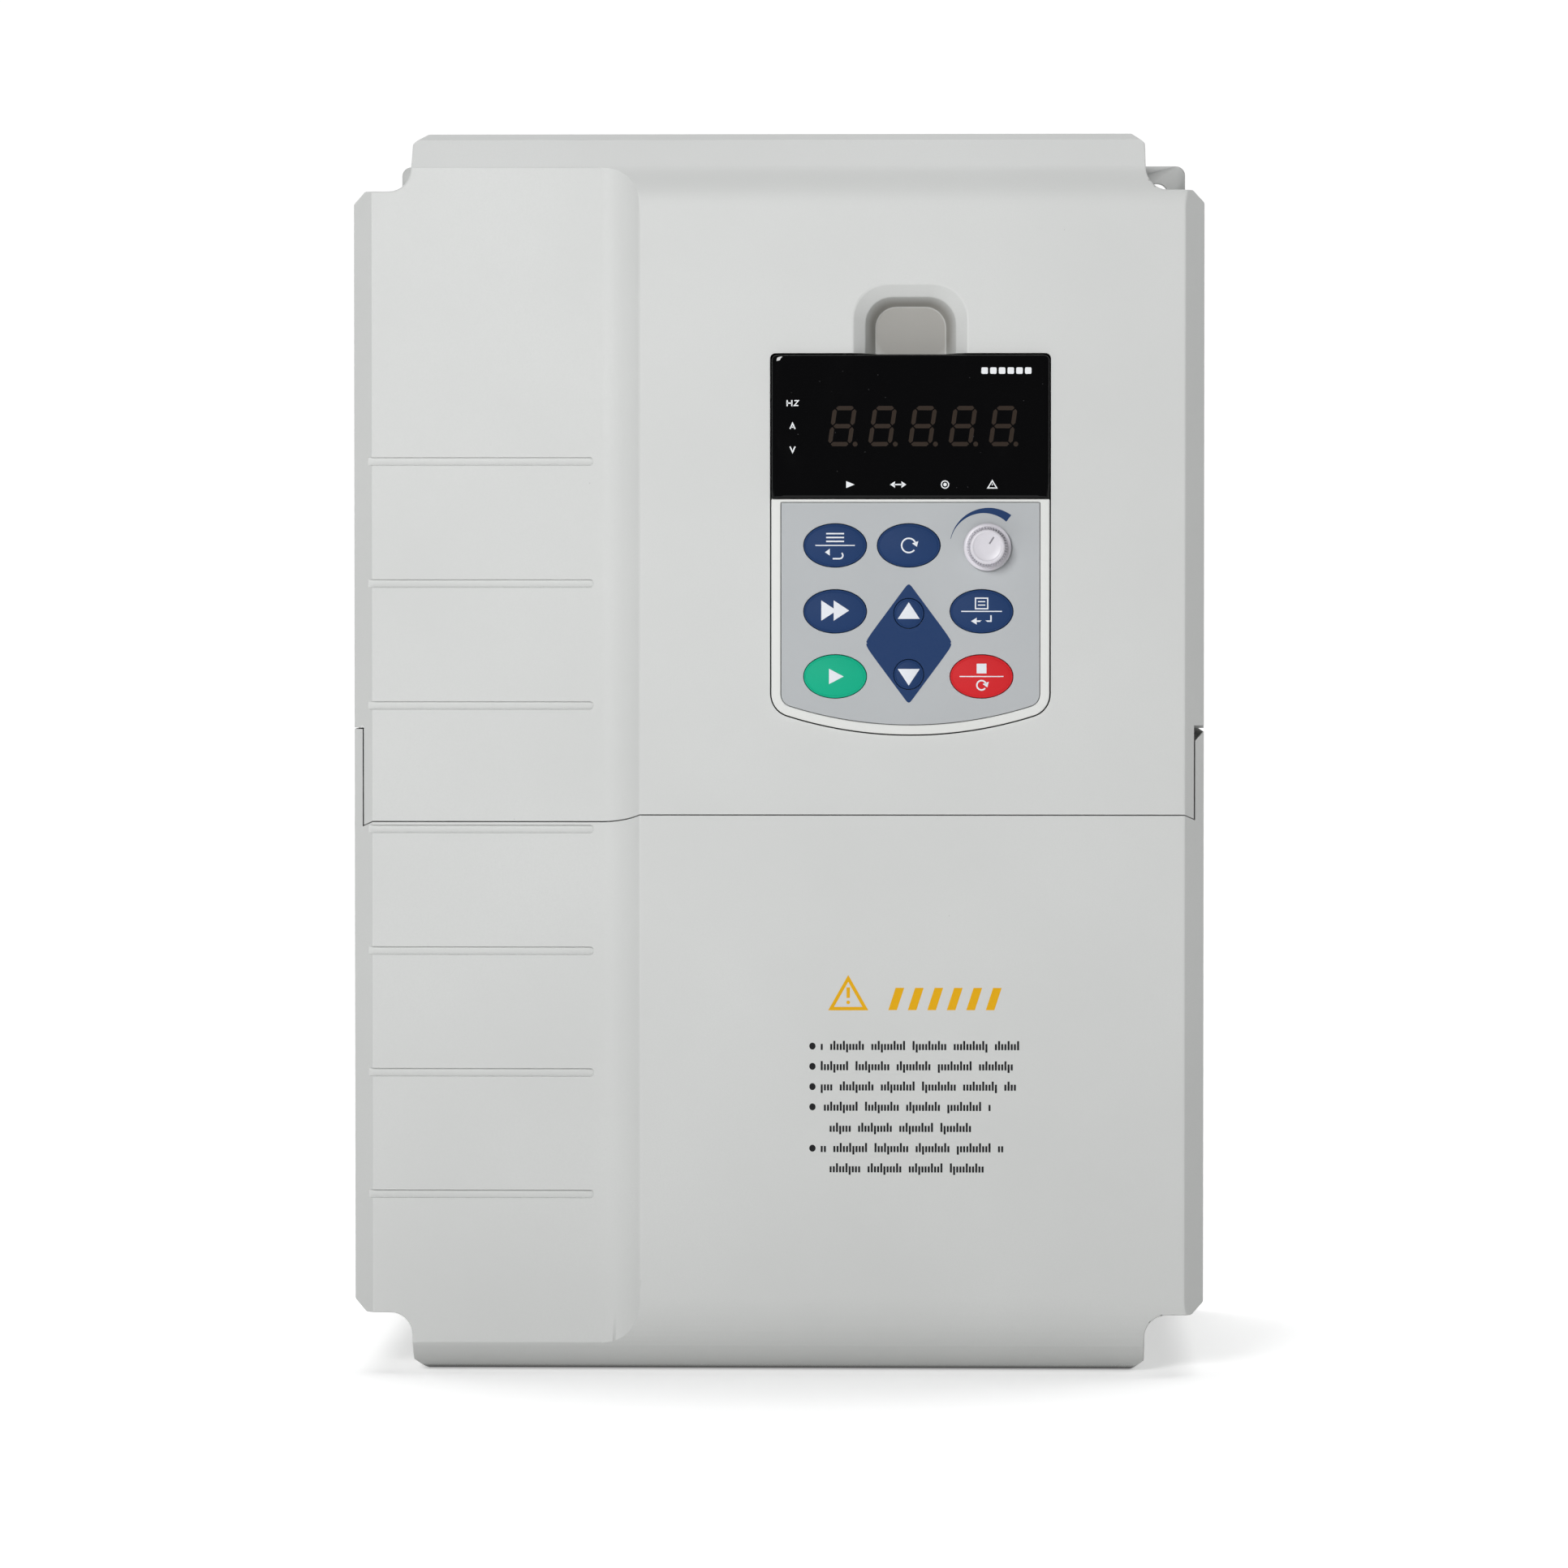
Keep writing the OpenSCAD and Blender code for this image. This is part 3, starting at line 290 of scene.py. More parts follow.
finish = {}
# Painted shade: the case, the keypad shell and the knob are darkened in their narrow gaps and grooves, and the case
# also in its finger recess.
finish["case_plastic"] = moulded("case_plastic", (0.655, 0.665, 0.655), 0.50, specks=0.012,
                                 painted_gap_shade=2.5 * MM, painted_shade_hollow=(0.033, -0.170, 0.106))
finish["keypad_shell"] = moulded("keypad_shell", (0.76, 0.77, 0.75), 0.42, grain=0.25 * MM, painted_gap_shade=3 * MM)
finish["black_plastic"] = moulded("black_plastic", (0.035, 0.035, 0.038), 0.48, drift=0.15, edge_light=2.2)
finish["knob_white"] = moulded("knob_white", (0.70, 0.68, 0.73), 0.32, grain=0.2 * MM, depth=0.005 * MM,
                               painted_gap_shade=0.8 * MM)
finish["sensor_blue"] = moulded("sensor_blue", (0.03, 0.09, 0.28), 0.40, drift=0.08, edge_light=1.8)
finish["terminal_green"] = moulded("terminal_green", (0.03, 0.25, 0.09), 0.42, drift=0.08, edge_light=1.5)
finish["rubber"] = moulded("rubber", (0.022, 0.022, 0.024), 0.68, grain=0.6 * MM, drift=0.2, edge_light=2.5)
finish["key_blue"] = moulded("key_blue", (0.010, 0.040, 0.135), 0.6, grain=0.2 * MM, depth=0.03 * MM, edge_light=1.25,
                           shine=0.22)
finish["key_green"] = moulded("key_green", (0.001, 0.44, 0.25), 0.6, grain=0.2 * MM, depth=0.03 * MM, edge_light=1.4,
                           shine=0.22)
finish["key_red"] = moulded("key_red", (0.66, 0.016, 0.022), 0.6, grain=0.2 * MM, depth=0.03 * MM, edge_light=1.5,
                           shine=0.22)
finish["display_black"] = moulded("display_black", (0.012, 0.012, 0.013), 0.35, drift=0.1, edge_light=2.0)
print("plastic finishes:", len(finish))

# %% [markdown]
# ## Metals
# The heat sink is extruded, so faint die lines run along its fins. Plated screws and steel have a mottled
# zinc skin with brighter edges, and brass is warmer and a little tarnished.

# %% Metals
def metal(name, colour, roughness, lines=None, mottle=0.004, depth=0.01 * MM):
    """Metal with a mottled skin. lines is a scale per axis that stretches fine scratches into drawn lines."""
    t = Tree(name, Metallic=1.0, Roughness=roughness)
    patch = t.noise(mottle, 4)
    fine = t.noise(0.3 * MM, 3, place=t.stretched(lines) if lines else None)
    base = t.mix(t.range(patch, 0.3, 0.7, 0, 1), tint(colour, 0.88), tint(colour, 1.05))
    edge = t.edge()
    t.colour(t.mix(t.maths("MULTIPLY", edge, 0.7), base, tint(colour, 1.25)))
    t.rough(t.maths("ADD", t.range(fine, 0.3, 0.7, roughness - 0.07, roughness + 0.1),
                    t.range(patch, 0.35, 0.65, -0.04, 0.06)))
    t.bump(fine, 0.3, depth)
    return t.material


finish["aluminium"] = metal("aluminium", (0.60, 0.61, 0.62), 0.38, lines=(1, 1, 0.02), mottle=0.012)
finish["steel"] = metal("steel", (0.20, 0.205, 0.21), 0.45, lines=(0.05, 1, 1), mottle=0.008)
finish["screw_steel"] = metal("screw_steel", (0.62, 0.62, 0.60), 0.32, mottle=0.0015)
finish["brass"] = metal("brass", (0.62, 0.47, 0.22), 0.30, mottle=0.003)
print("metal finishes ready")

# %% [markdown]
# ## Circuit boards
# A board is glass-fibre under a coloured lacquer. Copper tracks show through as paler lines, with bright
# tinned pads at a regular spacing. Two sets of thresholded waves make the tracks,
# and a grid of small cells makes the pads.

# %% Boards
def board(name, lacquer, track, pitch):
    """Lacquered board: tracks from two sets of wave bands, tinned pads from a cell grid of that pitch."""
    t = Tree(name, Roughness=0.32, Specular_IOR_Level=0.5)
    warp = t.noise(0.03, 1)
    bands = []
    for axis, mask_size in (("X", 0.014), ("Z", 0.019)):
        wave = t.add("TexWave", {"bands_direction": axis}, Vector=t.place, Scale=0.314 / pitch, Distortion=0.0)
        lines = t.maths("GREATER_THAN", wave.outputs["Fac"], 0.72)
        where = t.maths("GREATER_THAN", t.noise(mask_size, 1), 0.53)
        bands.append(t.maths("MULTIPLY", lines, where))
    tracks = t.maths("MAXIMUM", bands[0], bands[1])
    cells = t.add("TexVoronoi", {"distance": "CHEBYCHEV"}, Vector=t.stretched((1, 0.05, 1)), Scale=1 / (pitch * 4),
                  Randomness=0.35)
    pads = t.maths("LESS_THAN", cells.outputs["Distance"], 0.11)
    weave = t.noise(0.5 * MM, 2)
    base = t.mix(t.range(warp, 0.3, 0.7, 0, 1), tint(lacquer, 0.85), tint(lacquer, 1.15))
    base = t.mix(t.maths("MULTIPLY", tracks, 0.8), base, tint(track, 1))
    t.colour(t.mix(pads, base, (0.62, 0.62, 0.58, 1)))
    t.rough(t.maths("SUBTRACT", t.range(weave, 0.3, 0.7, 0.28, 0.4), t.maths("MULTIPLY", pads, 0.08)))
    t.bump(t.maths("ADD", tracks, t.maths("MULTIPLY", pads, 1.6)), 0.6, 0.04 * MM)
    return t.material


finish["power_pcb"] = board("power_pcb", (0.015, 0.10, 0.045), (0.04, 0.22, 0.09), 2.2 * MM)
finish["control_pcb"] = board("control_pcb", (0.012, 0.07, 0.14), (0.03, 0.15, 0.27), 1.2 * MM)
print("board finishes ready")

# %% [markdown]
# ## Films, sleeve, gloss window and inks
# The display window is black acrylic: very smooth, with fine dust and faint smears that only change its gloss.
# The overlay is a printed polyester film with a fine matt texture. The capacitor sleeve is shrunk PVC.

# %% Films and gloss
def gloss_window():
    """Black acrylic with dust specks and faint smears in the roughness."""
    t = Tree("window_black", Specular_IOR_Level=0.3)
    smear = t.noise(0.012, 4, place=t.stretched((1.6, 1, 0.7)))
    dust = t.add("TexVoronoi", Vector=t.place, Scale=1 / (2.6 * MM))
    speck = t.maths("LESS_THAN", dust.outputs["Distance"], 0.035)
    t.rough(t.maths("ADD", t.range(smear, 0.5, 0.75, 0.03, 0.09), t.maths("MULTIPLY", speck, 0.4)))
    t.colour(t.mix(speck, (0.0015, 0.0015, 0.0018, 1), (0.03, 0.03, 0.032, 1)))
    t.bump(t.noise(0.02, 1), 0.05, 0.05 * MM)
    return t.material


def film(name, colour, roughness, grain, see_through=0.0):
    """A thin printed or clear film with a fine matt texture."""
    t = Tree(name, Roughness=roughness, Transmission_Weight=see_through)
    fine = t.noise(grain, 3)
    cloud = t.noise(0.03, 2)
    base = t.mix(t.range(cloud, 0.3, 0.7, 0, 1), tint(colour, 0.975), tint(colour, 1.025))
    t.colour(t.mix(t.maths("MULTIPLY", t.edge(), 0.8), base, tint(colour, 1.35)))
    t.rough(t.range(fine, 0.3, 0.7, roughness - 0.06, roughness + 0.08))
    t.bump(fine, 0.25, 0.01 * MM)
    return t.material


def ink(name, colour, roughness=0.4):
    """Screen-printed ink: even colour with tiny pinholes and a soft wave in its gloss."""
    t = Tree(name, Roughness=roughness, Specular_IOR_Level=0.2)
    fine = t.noise(0.25 * MM, 2)
    t.colour(t.mix(t.range(fine, 0.62, 0.75, 0, 0.25), tint(colour, 1), tint(colour, 0.75)))
    t.rough(t.range(fine, 0.3, 0.7, roughness - 0.05, roughness + 0.08))
    return t.material


finish["window_black"] = gloss_window()
finish["overlay_film"] = film("overlay_film", (0.47, 0.49, 0.505), 0.6, 0.3 * MM)
finish["insulation_film"] = film("insulation_film", (0.80, 0.76, 0.60), 0.35, 1.0 * MM, see_through=0.35)
finish["capacitor_sleeve"] = film("capacitor_sleeve", (0.012, 0.022, 0.075), 0.28, 1.2 * MM)
finish["lamp_red"] = film("lamp_red", (0.55, 0.01, 0.01), 0.15, 1.0 * MM, see_through=0.4)
finish["white_ink"] = ink("white_ink", (0.80, 0.83, 0.88))
finish["pale_ink"] = ink("pale_ink", (0.86, 0.88, 0.90), 0.25)
finish["grey_ink"] = ink("grey_ink", (0.25, 0.24, 0.27), 0.5)
finish["dark_ink"] = ink("dark_ink", (0.008, 0.008, 0.010), 0.6)
finish["yellow_ink"] = ink("yellow_ink", (0.80, 0.42, 0.0), 0.6)
finish["blue_ink"] = ink("blue_ink", (0.010, 0.040, 0.135), 0.6)
finish["unlit_segment"] = ink("unlit_segment", (0.036, 0.026, 0.020), 0.12)


def ribbon_finish(pitch=1.27 * MM):
    """Flat cable: grey sleeving ribbed at the wire pitch, with a red first wire."""
    t = Tree("ribbon", Roughness=0.4)
    across = t.add("SeparateXYZ", Vector=t.place).outputs["X"]
    wave = t.maths("ABSOLUTE", t.maths("SINE", t.maths("MULTIPLY", across, math.pi / pitch)))
    first = t.maths("LESS_THAN", across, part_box("ribbon_cable")[0].x + pitch)
    base = t.mix(t.range(wave, 0.0, 0.6, 0, 1), (0.20, 0.20, 0.21, 1), (0.36, 0.36, 0.37, 1))
    t.colour(t.mix(first, base, (0.45, 0.03, 0.03, 1)))
    t.rough(t.range(t.noise(1.0 * MM), 0.3, 0.7, 0.34, 0.48))
    t.bump(wave, 0.8, 0.25 * MM)
    return t.material


finish["ribbon"] = ribbon_finish()
print("finishes so far:", len(finish))

# %% Floor finish
t = Tree("pale_floor", Roughness=0.7, Specular_IOR_Level=0.1, Emission_Color=(1, 1, 0.98, 1), Emission_Strength=0.19)
t.colour(t.mix(t.noise(0.4, 2), (0.48, 0.48, 0.48, 1), (0.52, 0.52, 0.52, 1)))
glow = t.add("Emission", Color=(1, 1, 1, 1), Strength=0.34)
lit = t.add("BsdfDiffuse", Color=(0.93, 0.93, 0.93, 1))
bright = t.add("AddShader", i0=glow.outputs[0], i1=lit.outputs[0])
seen = t.add("LightPath")
either = t.add("MixShader", i0=seen.outputs["Is Camera Ray"], i1=t.shader.outputs[0], i2=bright.outputs[0])
t.links.new(either.outputs[0], t.nodes["Material Output"].inputs["Surface"])
floor.data.materials.append(t.material)
print("floor finish ready")

# %% [markdown]
# ## Finished copies
# The frame's pieces come as loose triangles with hard edges. A moulded or machined edge is never perfectly
# sharp, and its small rounding is what catches the light. So each piece is copied, its doubled points are
# merged, its flat triangles are joined back into faces and every sharp edge gets a small bevel.
# Weighted normals then keep the flats flat. The bevel's faces also leave an `edge` attribute for wear.

# %% Finished copy
def evaluated(obj):
    """The mesh of obj with its modifiers applied."""
    graph = bpy.context.evaluated_depsgraph_get()
    return bpy.data.meshes.new_from_object(obj.evaluated_get(graph), preserve_all_data_layers=True, depsgraph=graph)


def swap_mesh(obj, mesh):
    """Gives obj the mesh and drops its modifiers."""
    obj.modifiers.clear()
    obj.data = mesh


def soften(obj, width, angle=28, segments=2, weighted=False, crease=40):
    """Bevels the sharp edges of obj, marks the bevel in the edge attribute and evens the normals."""
    mesh = obj.data
    mesh.materials.clear()
    mesh.materials.append(finish["case_plastic"])
    mesh.materials.append(finish["case_plastic"])
    if width:
        bevel = obj.modifiers.new("rounding", "BEVEL")
        bevel.width = width
        bevel.segments = segments
        bevel.limit_method = "WEIGHT" if weighted else "ANGLE"
        bevel.angle_limit = math.radians(angle)
        bevel.use_clamp_overlap = False
        bevel.material = 1
        bevel.miter_outer = "MITER_ARC"
        swap_mesh(obj, evaluated(obj))
    mesh = obj.data
    mark = np.zeros(len(mesh.polygons), np.int32)
    mesh.polygons.foreach_get("material_index", mark)
    totals = np.zeros(len(mesh.polygons), np.int32)
    mesh.polygons.foreach_get("loop_total", totals)
    corner = np.zeros(len(mesh.loops), np.int32)
    mesh.loops.foreach_get("vertex_index", corner)
    only_bevel = np.ones(len(mesh.vertices), np.float32)
    np.minimum.at(only_bevel, corner, np.repeat(mark, totals).astype(np.float32))
    mesh.attributes.new("edge", "FLOAT", "POINT").data.foreach_set("value", only_bevel)
    mesh.polygons.foreach_set("material_index", np.zeros(len(mesh.polygons), np.int32))
    mesh.shade_smooth()
    mesh.set_sharp_from_angle(angle=math.radians(crease))
    weigh = obj.modifiers.new("even", "WEIGHTED_NORMAL")
    weigh.keep_sharp = True
    swap_mesh(obj, evaluated(obj))
    return obj


def adopt(obj, body, material, stands_for=()):
    """Places obj in the scene: its body, its finish and the frame pieces it stands for."""
    obj.data.materials.clear()
    obj.data.materials.append(finish[material])
    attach(obj, body)
    if stands_for:
        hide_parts(*stands_for)
    return obj


def finished_copy(node, width=0.25 * MM, material=None, angle=28, segments=2, cuts=(), share=None,
                  leave=None, crease=40):
    """A copy of a frame piece with merged points, joined flats and softened edges.
    cuts are heights at which its cove's long strips are split, so that shading near an end stays there.
    share gives each sharp edge its part of width from the edge's middle point.
    leave marks pierced areas whose flats stay as they are, as one flat face cannot carry many holes.
    A width of 0 leaves the whole piece as it is."""
    mesh = nodes[node].data.copy()
    work = bmesh.new()
    work.from_mesh(mesh)
    bmesh.ops.remove_doubles(work, verts=work.verts, dist=2e-6)
    if width:
        flat = {e for e in work.edges if not (leave and leave((e.verts[0].co + e.verts[1].co) / 2))}
        inside = [v for v in work.verts if all(e in flat for e in v.link_edges)]
        bmesh.ops.dissolve_limit(work, angle_limit=math.radians(0.6), verts=inside, edges=list(flat))
    for height in cuts:
        strips = [f for f in work.faces if -0.046 < f.calc_center_bounds().x < -0.033]
        around = {e for f in strips for e in f.edges} | {v for f in strips for v in f.verts}
        bmesh.ops.bisect_plane(work, geom=strips + list(around), dist=1e-6, plane_co=(0, 0, height),
                               plane_no=(0, 0, 1))
    if share:
        layer = work.edges.layers.float.new("bevel_weight_edge")
        limit = math.radians(angle)
        for edge in work.edges:
            if edge.calc_face_angle(0.0) > limit:
                edge[layer] = share((edge.verts[0].co + edge.verts[1].co) / 2)
    work.to_mesh(mesh)
    work.free()
    obj = bpy.data.objects.new(node + "_finished", mesh)
    bpy.context.scene.collection.objects.link(obj)
    soften(obj, width, angle, segments, weighted=bool(share), crease=crease)
    slot = slot_of_node[node]
    return adopt(obj, body_of_node[node], material or slot, (node,))


print("finished copies can be made")

# %% [markdown]
# ## The covers
# The two covers are large mouldings. Round the corner notches the edge is generous, about a millimetre, and so
# it is along the long chamfers. Where two parts meet, at the seam and round the keypad's pocket, the edge is
# almost crisp, or the joint would look too wide. So each sharp edge gets its own share of the bevel.

# %% Covers
def cover_share(p):
    """Part of the bevel for an edge of a cover whose middle is at p."""
    if vented(p) and abs(p.x) < 0.085 or -0.048 < p.x < -0.031 and abs(p.z) > 0.12:
        return 0.0
    if -0.0225 < p.z < -0.0135 or abs(p.x) > 0.1015 and -0.025 < p.z < 0.009:
        return 0.2
    if p.x < -0.044 and p.y < -0.1705 and abs(p.x) < 0.1015 and abs(p.z) < 0.12:
        return 0.3
    if -0.0025 < p.x < 0.0675 and 0.003 < p.z < 0.0985:
        return 0.4
    return 1.0


def vented(p):
    """True on the ventilated top of the upper cover."""
    return p.z > 0.125 and p.y > -0.166


for name in ("upper_cover", "lower_cover"):
    cover = finished_copy(name, 0.35 * MM, crease=13, leave=vented, cuts=(-0.138, -0.1365, -0.135, -0.133, -0.13, 0.13, 0.133, 0.135, 0.137), share=cover_share)
    print(name, "faces:", len(cover.data.polygons))

# %% [markdown]
# ## Housings, cooling and electronics
# Large mouldings get a wider rounding than small ones. Stamped and machined pieces get less, and thin boards
# and films only a trace. The pierced housings and the fan cover keep their crisp moulded edges.

# %% Housings, cooling and electronics
rounding = {
    "rear_housing": 0, "mid_housing": 0, "fan_cover": 0,
    "keypad_front": 0.3, "keypad_back": 0.35, "cable_plate": 0.3, "cable_grommets": 0.5, "heatsink": 0.25,
    "fan_frame_left": 0.4, "fan_frame_right": 0.4, "rectifier_module": 0.4, "inverter_module": 0.4,
    "power_relay": 0.4, "current_sensors": 0.4, "power_terminal_block": 0.3, "earth_bar": 0.3,
    "keypad_latch": 0.2, "keypad_socket": 0.15, "keypad_plug": 0.2, "signal_relay": 0.3,
    "power_board": 0.08, "control_board": 0.08, "keypad_board": 0.08, "insulation_sheet": 0.05,
    "keypad_overlay": 0.15, "pot_shaft": 0.15, "potentiometer": 0.15, "display_module": 0.2,
    "charge_lamp": 0.3, "control_chips": 0.12, "control_terminals": 0.15, "tact_switches": 0.12,
    "board_pillars": 0.2, "power_terminal_screws": 0.15, "ribbon_cable": 0.1,
}
screws = ["housing_screws", "fan_screws", "module_screws", "power_board_screws", "earth_screws",
          "control_board_screws", "control_terminal_screws", "upper_cover_screws", "keypad_screws"]
rounding.update({name: 0.12 for name in screws})
for name, width in rounding.items():
    finished_copy(name, width * MM)
print("finished copies:", len(rounding))

# %% [markdown]
# ## Surfaces from arrays
# The keys, the knob and the printed marks are worked out as whole arrays. A closed piece is a stack of rings:
# each ring is a loop of points, neighbouring rings are joined by four-cornered faces, and a ring shrunk to one
# point closes an end. Sizes in these cells are in millimetres and turn into metres when the mesh is made.

# %% Rings and meshes
def ring_faces(rings, around):
    """Four-cornered faces between neighbouring rings. Corner (i, j) joins (i, j+1), (i+1, j+1) and (i+1, j)."""
    i = np.arange(rings - 1)[:, None] * around
    j = np.arange(around)[None, :]
    k = (j + 1) % around
    return np.stack([i + j, i + k, i + around + k, i + around + j], -1).reshape(-1, 4)


def ring_solid(stack):
    """Points and faces of a closed solid from a stack of rings, an array of rings x points x 3."""
    stack = np.asarray(stack, float)
    return stack.reshape(-1, 3), ring_faces(stack.shape[0], stack.shape[1])


def closed_stack(rings):
    """The rings with a point at each end, the middle of the first ring and the middle of the last."""
    first = np.broadcast_to(rings[0].mean(0), rings[0].shape)
    last = np.broadcast_to(rings[-1].mean(0), rings[-1].shape)
    return np.concatenate([first[None], rings, last[None]])


def piece(name, parts, body, material, stands_for=(), sharp=35):
    """One object from several (points, faces) arrays: doubles merged, normals outwards, smooth under sharp degrees."""
    points, faces, start = [], [], 0
    for p, f in parts:
        points.append(p)
        faces.append(f + start)
        start += len(p)
    mesh = bpy.data.meshes.new(name)
    mesh.from_pydata((np.concatenate(points) * MM).tolist(), [], np.concatenate(faces).tolist())
    work = bmesh.new()
    work.from_mesh(mesh)
    bmesh.ops.remove_doubles(work, verts=work.verts, dist=1e-7)
    bmesh.ops.dissolve_degenerate(work, edges=work.edges, dist=1e-8)
    bmesh.ops.recalc_face_normals(work, faces=work.faces)
    work.to_mesh(mesh)
    work.free()
    mesh.shade_smooth()
    mesh.set_sharp_from_angle(angle=math.radians(sharp))
    obj = bpy.data.objects.new(name, mesh)
    bpy.context.scene.collection.objects.link(obj)
    return adopt(obj, body, material, stands_for)


def turned(profile, centre, around=96, wave=None):
    """Rings of a solid turned about an axis along Y. profile is rows of (radius, y). wave(angle, row) adds to the radius."""
    profile = np.asarray(profile, float)
    angle = np.linspace(0, 2 * math.pi, around, endpoint=False)[None, :]
    radius = np.repeat(profile[:, :1], around, 1)
    if wave is not None:
        radius = radius + wave(angle, np.arange(len(profile))[:, None])
    return np.stack([centre[0] + radius * np.cos(angle), np.repeat(profile[:, 1:], around, 1),
                     centre[1] + radius * np.sin(angle)], -1)


print("array tools ready")

# %% [markdown]
# ## Oval keys
# Each oval key is a moulded cap with a narrow flat rim and a gently domed middle, on a round plunger.
# The dome is y = rim - height x (1 - (x/a)^2 - (z/b)^2), the same law the printed marks follow later, so a
# mark lies exactly on its key.

# %% Oval keys
key_places = {"key_program": (14.2, 51.2), "key_jog": (32.3, 51.2), "key_shift": (14.2, 35.0),
              "key_enter": (50.2, 35.0), "key_run": (14.2, 19.0), "key_stop": (50.2, 19.0)}
key_half = (7.7, 5.3)
rim_y, dome_rise, rim_w = -177.0, 0.62, 0.45


def key_dome(centre, half, rise=dome_rise):
    """The dome's law as a function of x and z, flat outside the dome."""
    def y(x, z):
        out = ((x - centre[0]) / half[0]) ** 2 + ((z - centre[1]) / half[1]) ** 2
        return rim_y - rise * np.clip(1 - out, 0, 1)
    return y


def key_cap(centre, half, rise=dome_rise, back_y=-173.2, plunger_y=-169.2):
    """Rings from the plunger's tip to the middle of the dome."""
    angle = np.linspace(0, 2 * math.pi, 72, endpoint=False)
    loop = np.stack([np.cos(angle), np.sin(angle)], -1)
    size = np.array(half)
    rings = []
    for inset, y in ((0.0, back_y), (0.0, rim_y + 0.25), (0.07, rim_y + 0.07), (0.24, rim_y),
                     (rim_w - 0.07, rim_y), (rim_w - 0.02, rim_y + 0.05)):
        rings.append(np.column_stack([centre[0] + loop[:, 0] * (size[0] - inset), np.full(72, y),
                                      centre[1] + loop[:, 1] * (size[1] - inset)]))
    inner = size - rim_w
    law = key_dome(centre, inner, rise)
    for u in np.append(np.cos(np.linspace(0.12, 1, 9) * math.pi / 2)[:-1], 0.0):
        x, z = centre[0] + loop[:, 0] * inner[0] * u, centre[1] + loop[:, 1] * inner[1] * u
        rings.append(np.column_stack([x, law(x, z), z]))
    stem = turned([(0, plunger_y), (1.45, plunger_y), (1.6, plunger_y - 0.15), (1.6, back_y)], centre, 72)
    return ring_solid(closed_stack(np.concatenate([stem, np.array(rings)])))


key_colour = {"key_run": "key_green", "key_stop": "key_red"}
for name, place in key_places.items():
    colour = key_colour.get(name, "key_blue")
    piece(name + "_cap", [key_cap(place, key_half)], name, colour, (name,), sharp=50)
for name, z in (("key_up", 34.5), ("key_down", 19.5)):
    piece(name + "_cap", [key_cap((32.3, z), (3.65, 3.65), 0.34)], name, "key_blue", (name,), sharp=50)
print("keys made:", len(key_places) + 2)

# %% [markdown]
# ## Speed knob
# The knob is turned from one profile: a thin skirt, a slightly tapered grip and a shallow dish on top.
# Forty-four flutes round the grip are a cosine added to the radius, which fades out at both ends of the grip.
# A fine grey line across the dish is its pointer.

# %% Speed knob
knob_at = (51.6, 50.8)
grip = [(5.02, -179.05), (5.0, -179.3), (4.9, -180.2), (4.76, -181.4), (4.62, -182.6), (4.48, -183.8), (4.4, -184.4)]
knob_profile = ([(0, -177.3), (5.6, -177.3), (5.82, -177.45), (5.85, -177.7), (5.85, -178.5), (5.77, -178.75),
                 (5.55, -178.88), (5.2, -178.9), (5.06, -178.93)] + grip
                + [(4.3, -184.62), (4.16, -184.84), (3.95, -184.95), (3.7, -184.98), (3.5, -184.94), (3.38, -184.84),
                   (3.2, -184.79), (1.6, -184.74), (0, -184.72)])
flute_count, flute_depth = 44, 0.24
first_row = 9


def flutes(angle, row):
    """Depth of the flutes: a cosine round the knob, full along the grip and gone at its ends."""
    fade = np.clip(np.minimum(row - first_row + 0.4, first_row + len(grip) - row - 0.3), 0, 1)
    return fade * flute_depth * (np.cos(flute_count * angle) - 1)


knob = turned(knob_profile, knob_at, flute_count * 8, flutes)
piece("speed_knob_turned", [ring_solid(knob)], "speed_knob", "knob_white",
      ("speed_knob",), sharp=40)
print("knob points:", knob.shape[0] * knob.shape[1])

# %% [markdown]
# ## Display window
# The window is one piece of black acrylic with rolled long edges, so a soft light drawn along its left side
# shows as a pale band. Its section is a plate whose edge rolls off over two millimetres at the sides and less
# at the top. The rings follow a rounded rectangle and move inwards while they rise.

# %% Display window
def rounded_loop(x0, x1, z0, z1, radius, corner_points=8):
    """A loop round a rectangle with rounded corners. radius is one number or one for each corner, from the top right."""
    radii = np.broadcast_to(radius, 4)
    corners = [(x1, z1, 0), (x0, z1, 90), (x0, z0, 180), (x1, z0, 270)]
    loop = []
    for (cx, cz, start), r in zip(corners, radii):
        a = np.radians(np.linspace(start, start + 90, corner_points))
        loop.append(np.column_stack([cx - math.copysign(r, cx - (x0 + x1) / 2) + r * np.cos(a),
                                     cz - math.copysign(r, cz - (z0 + z1) / 2) + r * np.sin(a)]))
    return np.concatenate(loop)


window_low, window_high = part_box("keypad_window")
wx0, wx1, wz0, wz1 = (v / MM for v in (window_low.x, window_high.x, window_low.z, window_high.z))
wy0, wy1 = window_low.y / MM, window_high.y / MM
rings = []
for inset_x, inset_z, y in ((0.1, 0.05, wy1), (0, 0, wy1 - 0.1), (0, 0, wy0 + 1.0), (0.05, 0.02, wy0 + 0.75),
                            (0.2, 0.06, wy0 + 0.5), (0.5, 0.12, wy0 + 0.28), (0.95, 0.2, wy0 + 0.12),
                            (1.5, 0.3, wy0 + 0.03), (2.2, 0.45, wy0), (2.9, 0.9, wy0)):
    loop = rounded_loop(wx0 + inset_x, wx1 - inset_x, wz0 + inset_z, wz1 - inset_z, (1.3, 1.3, 0.3, 0.3))
    rings.append(np.column_stack([loop[:, 0], np.full(len(loop), y), loop[:, 1]]))
piece("keypad_window_rolled", [ring_solid(closed_stack(np.array(rings)))], "keypad", "window_black",
      ("keypad_window",), sharp=60)
print("window:", round(wx1 - wx0, 2), "x", round(wz1 - wz0, 2), "mm")

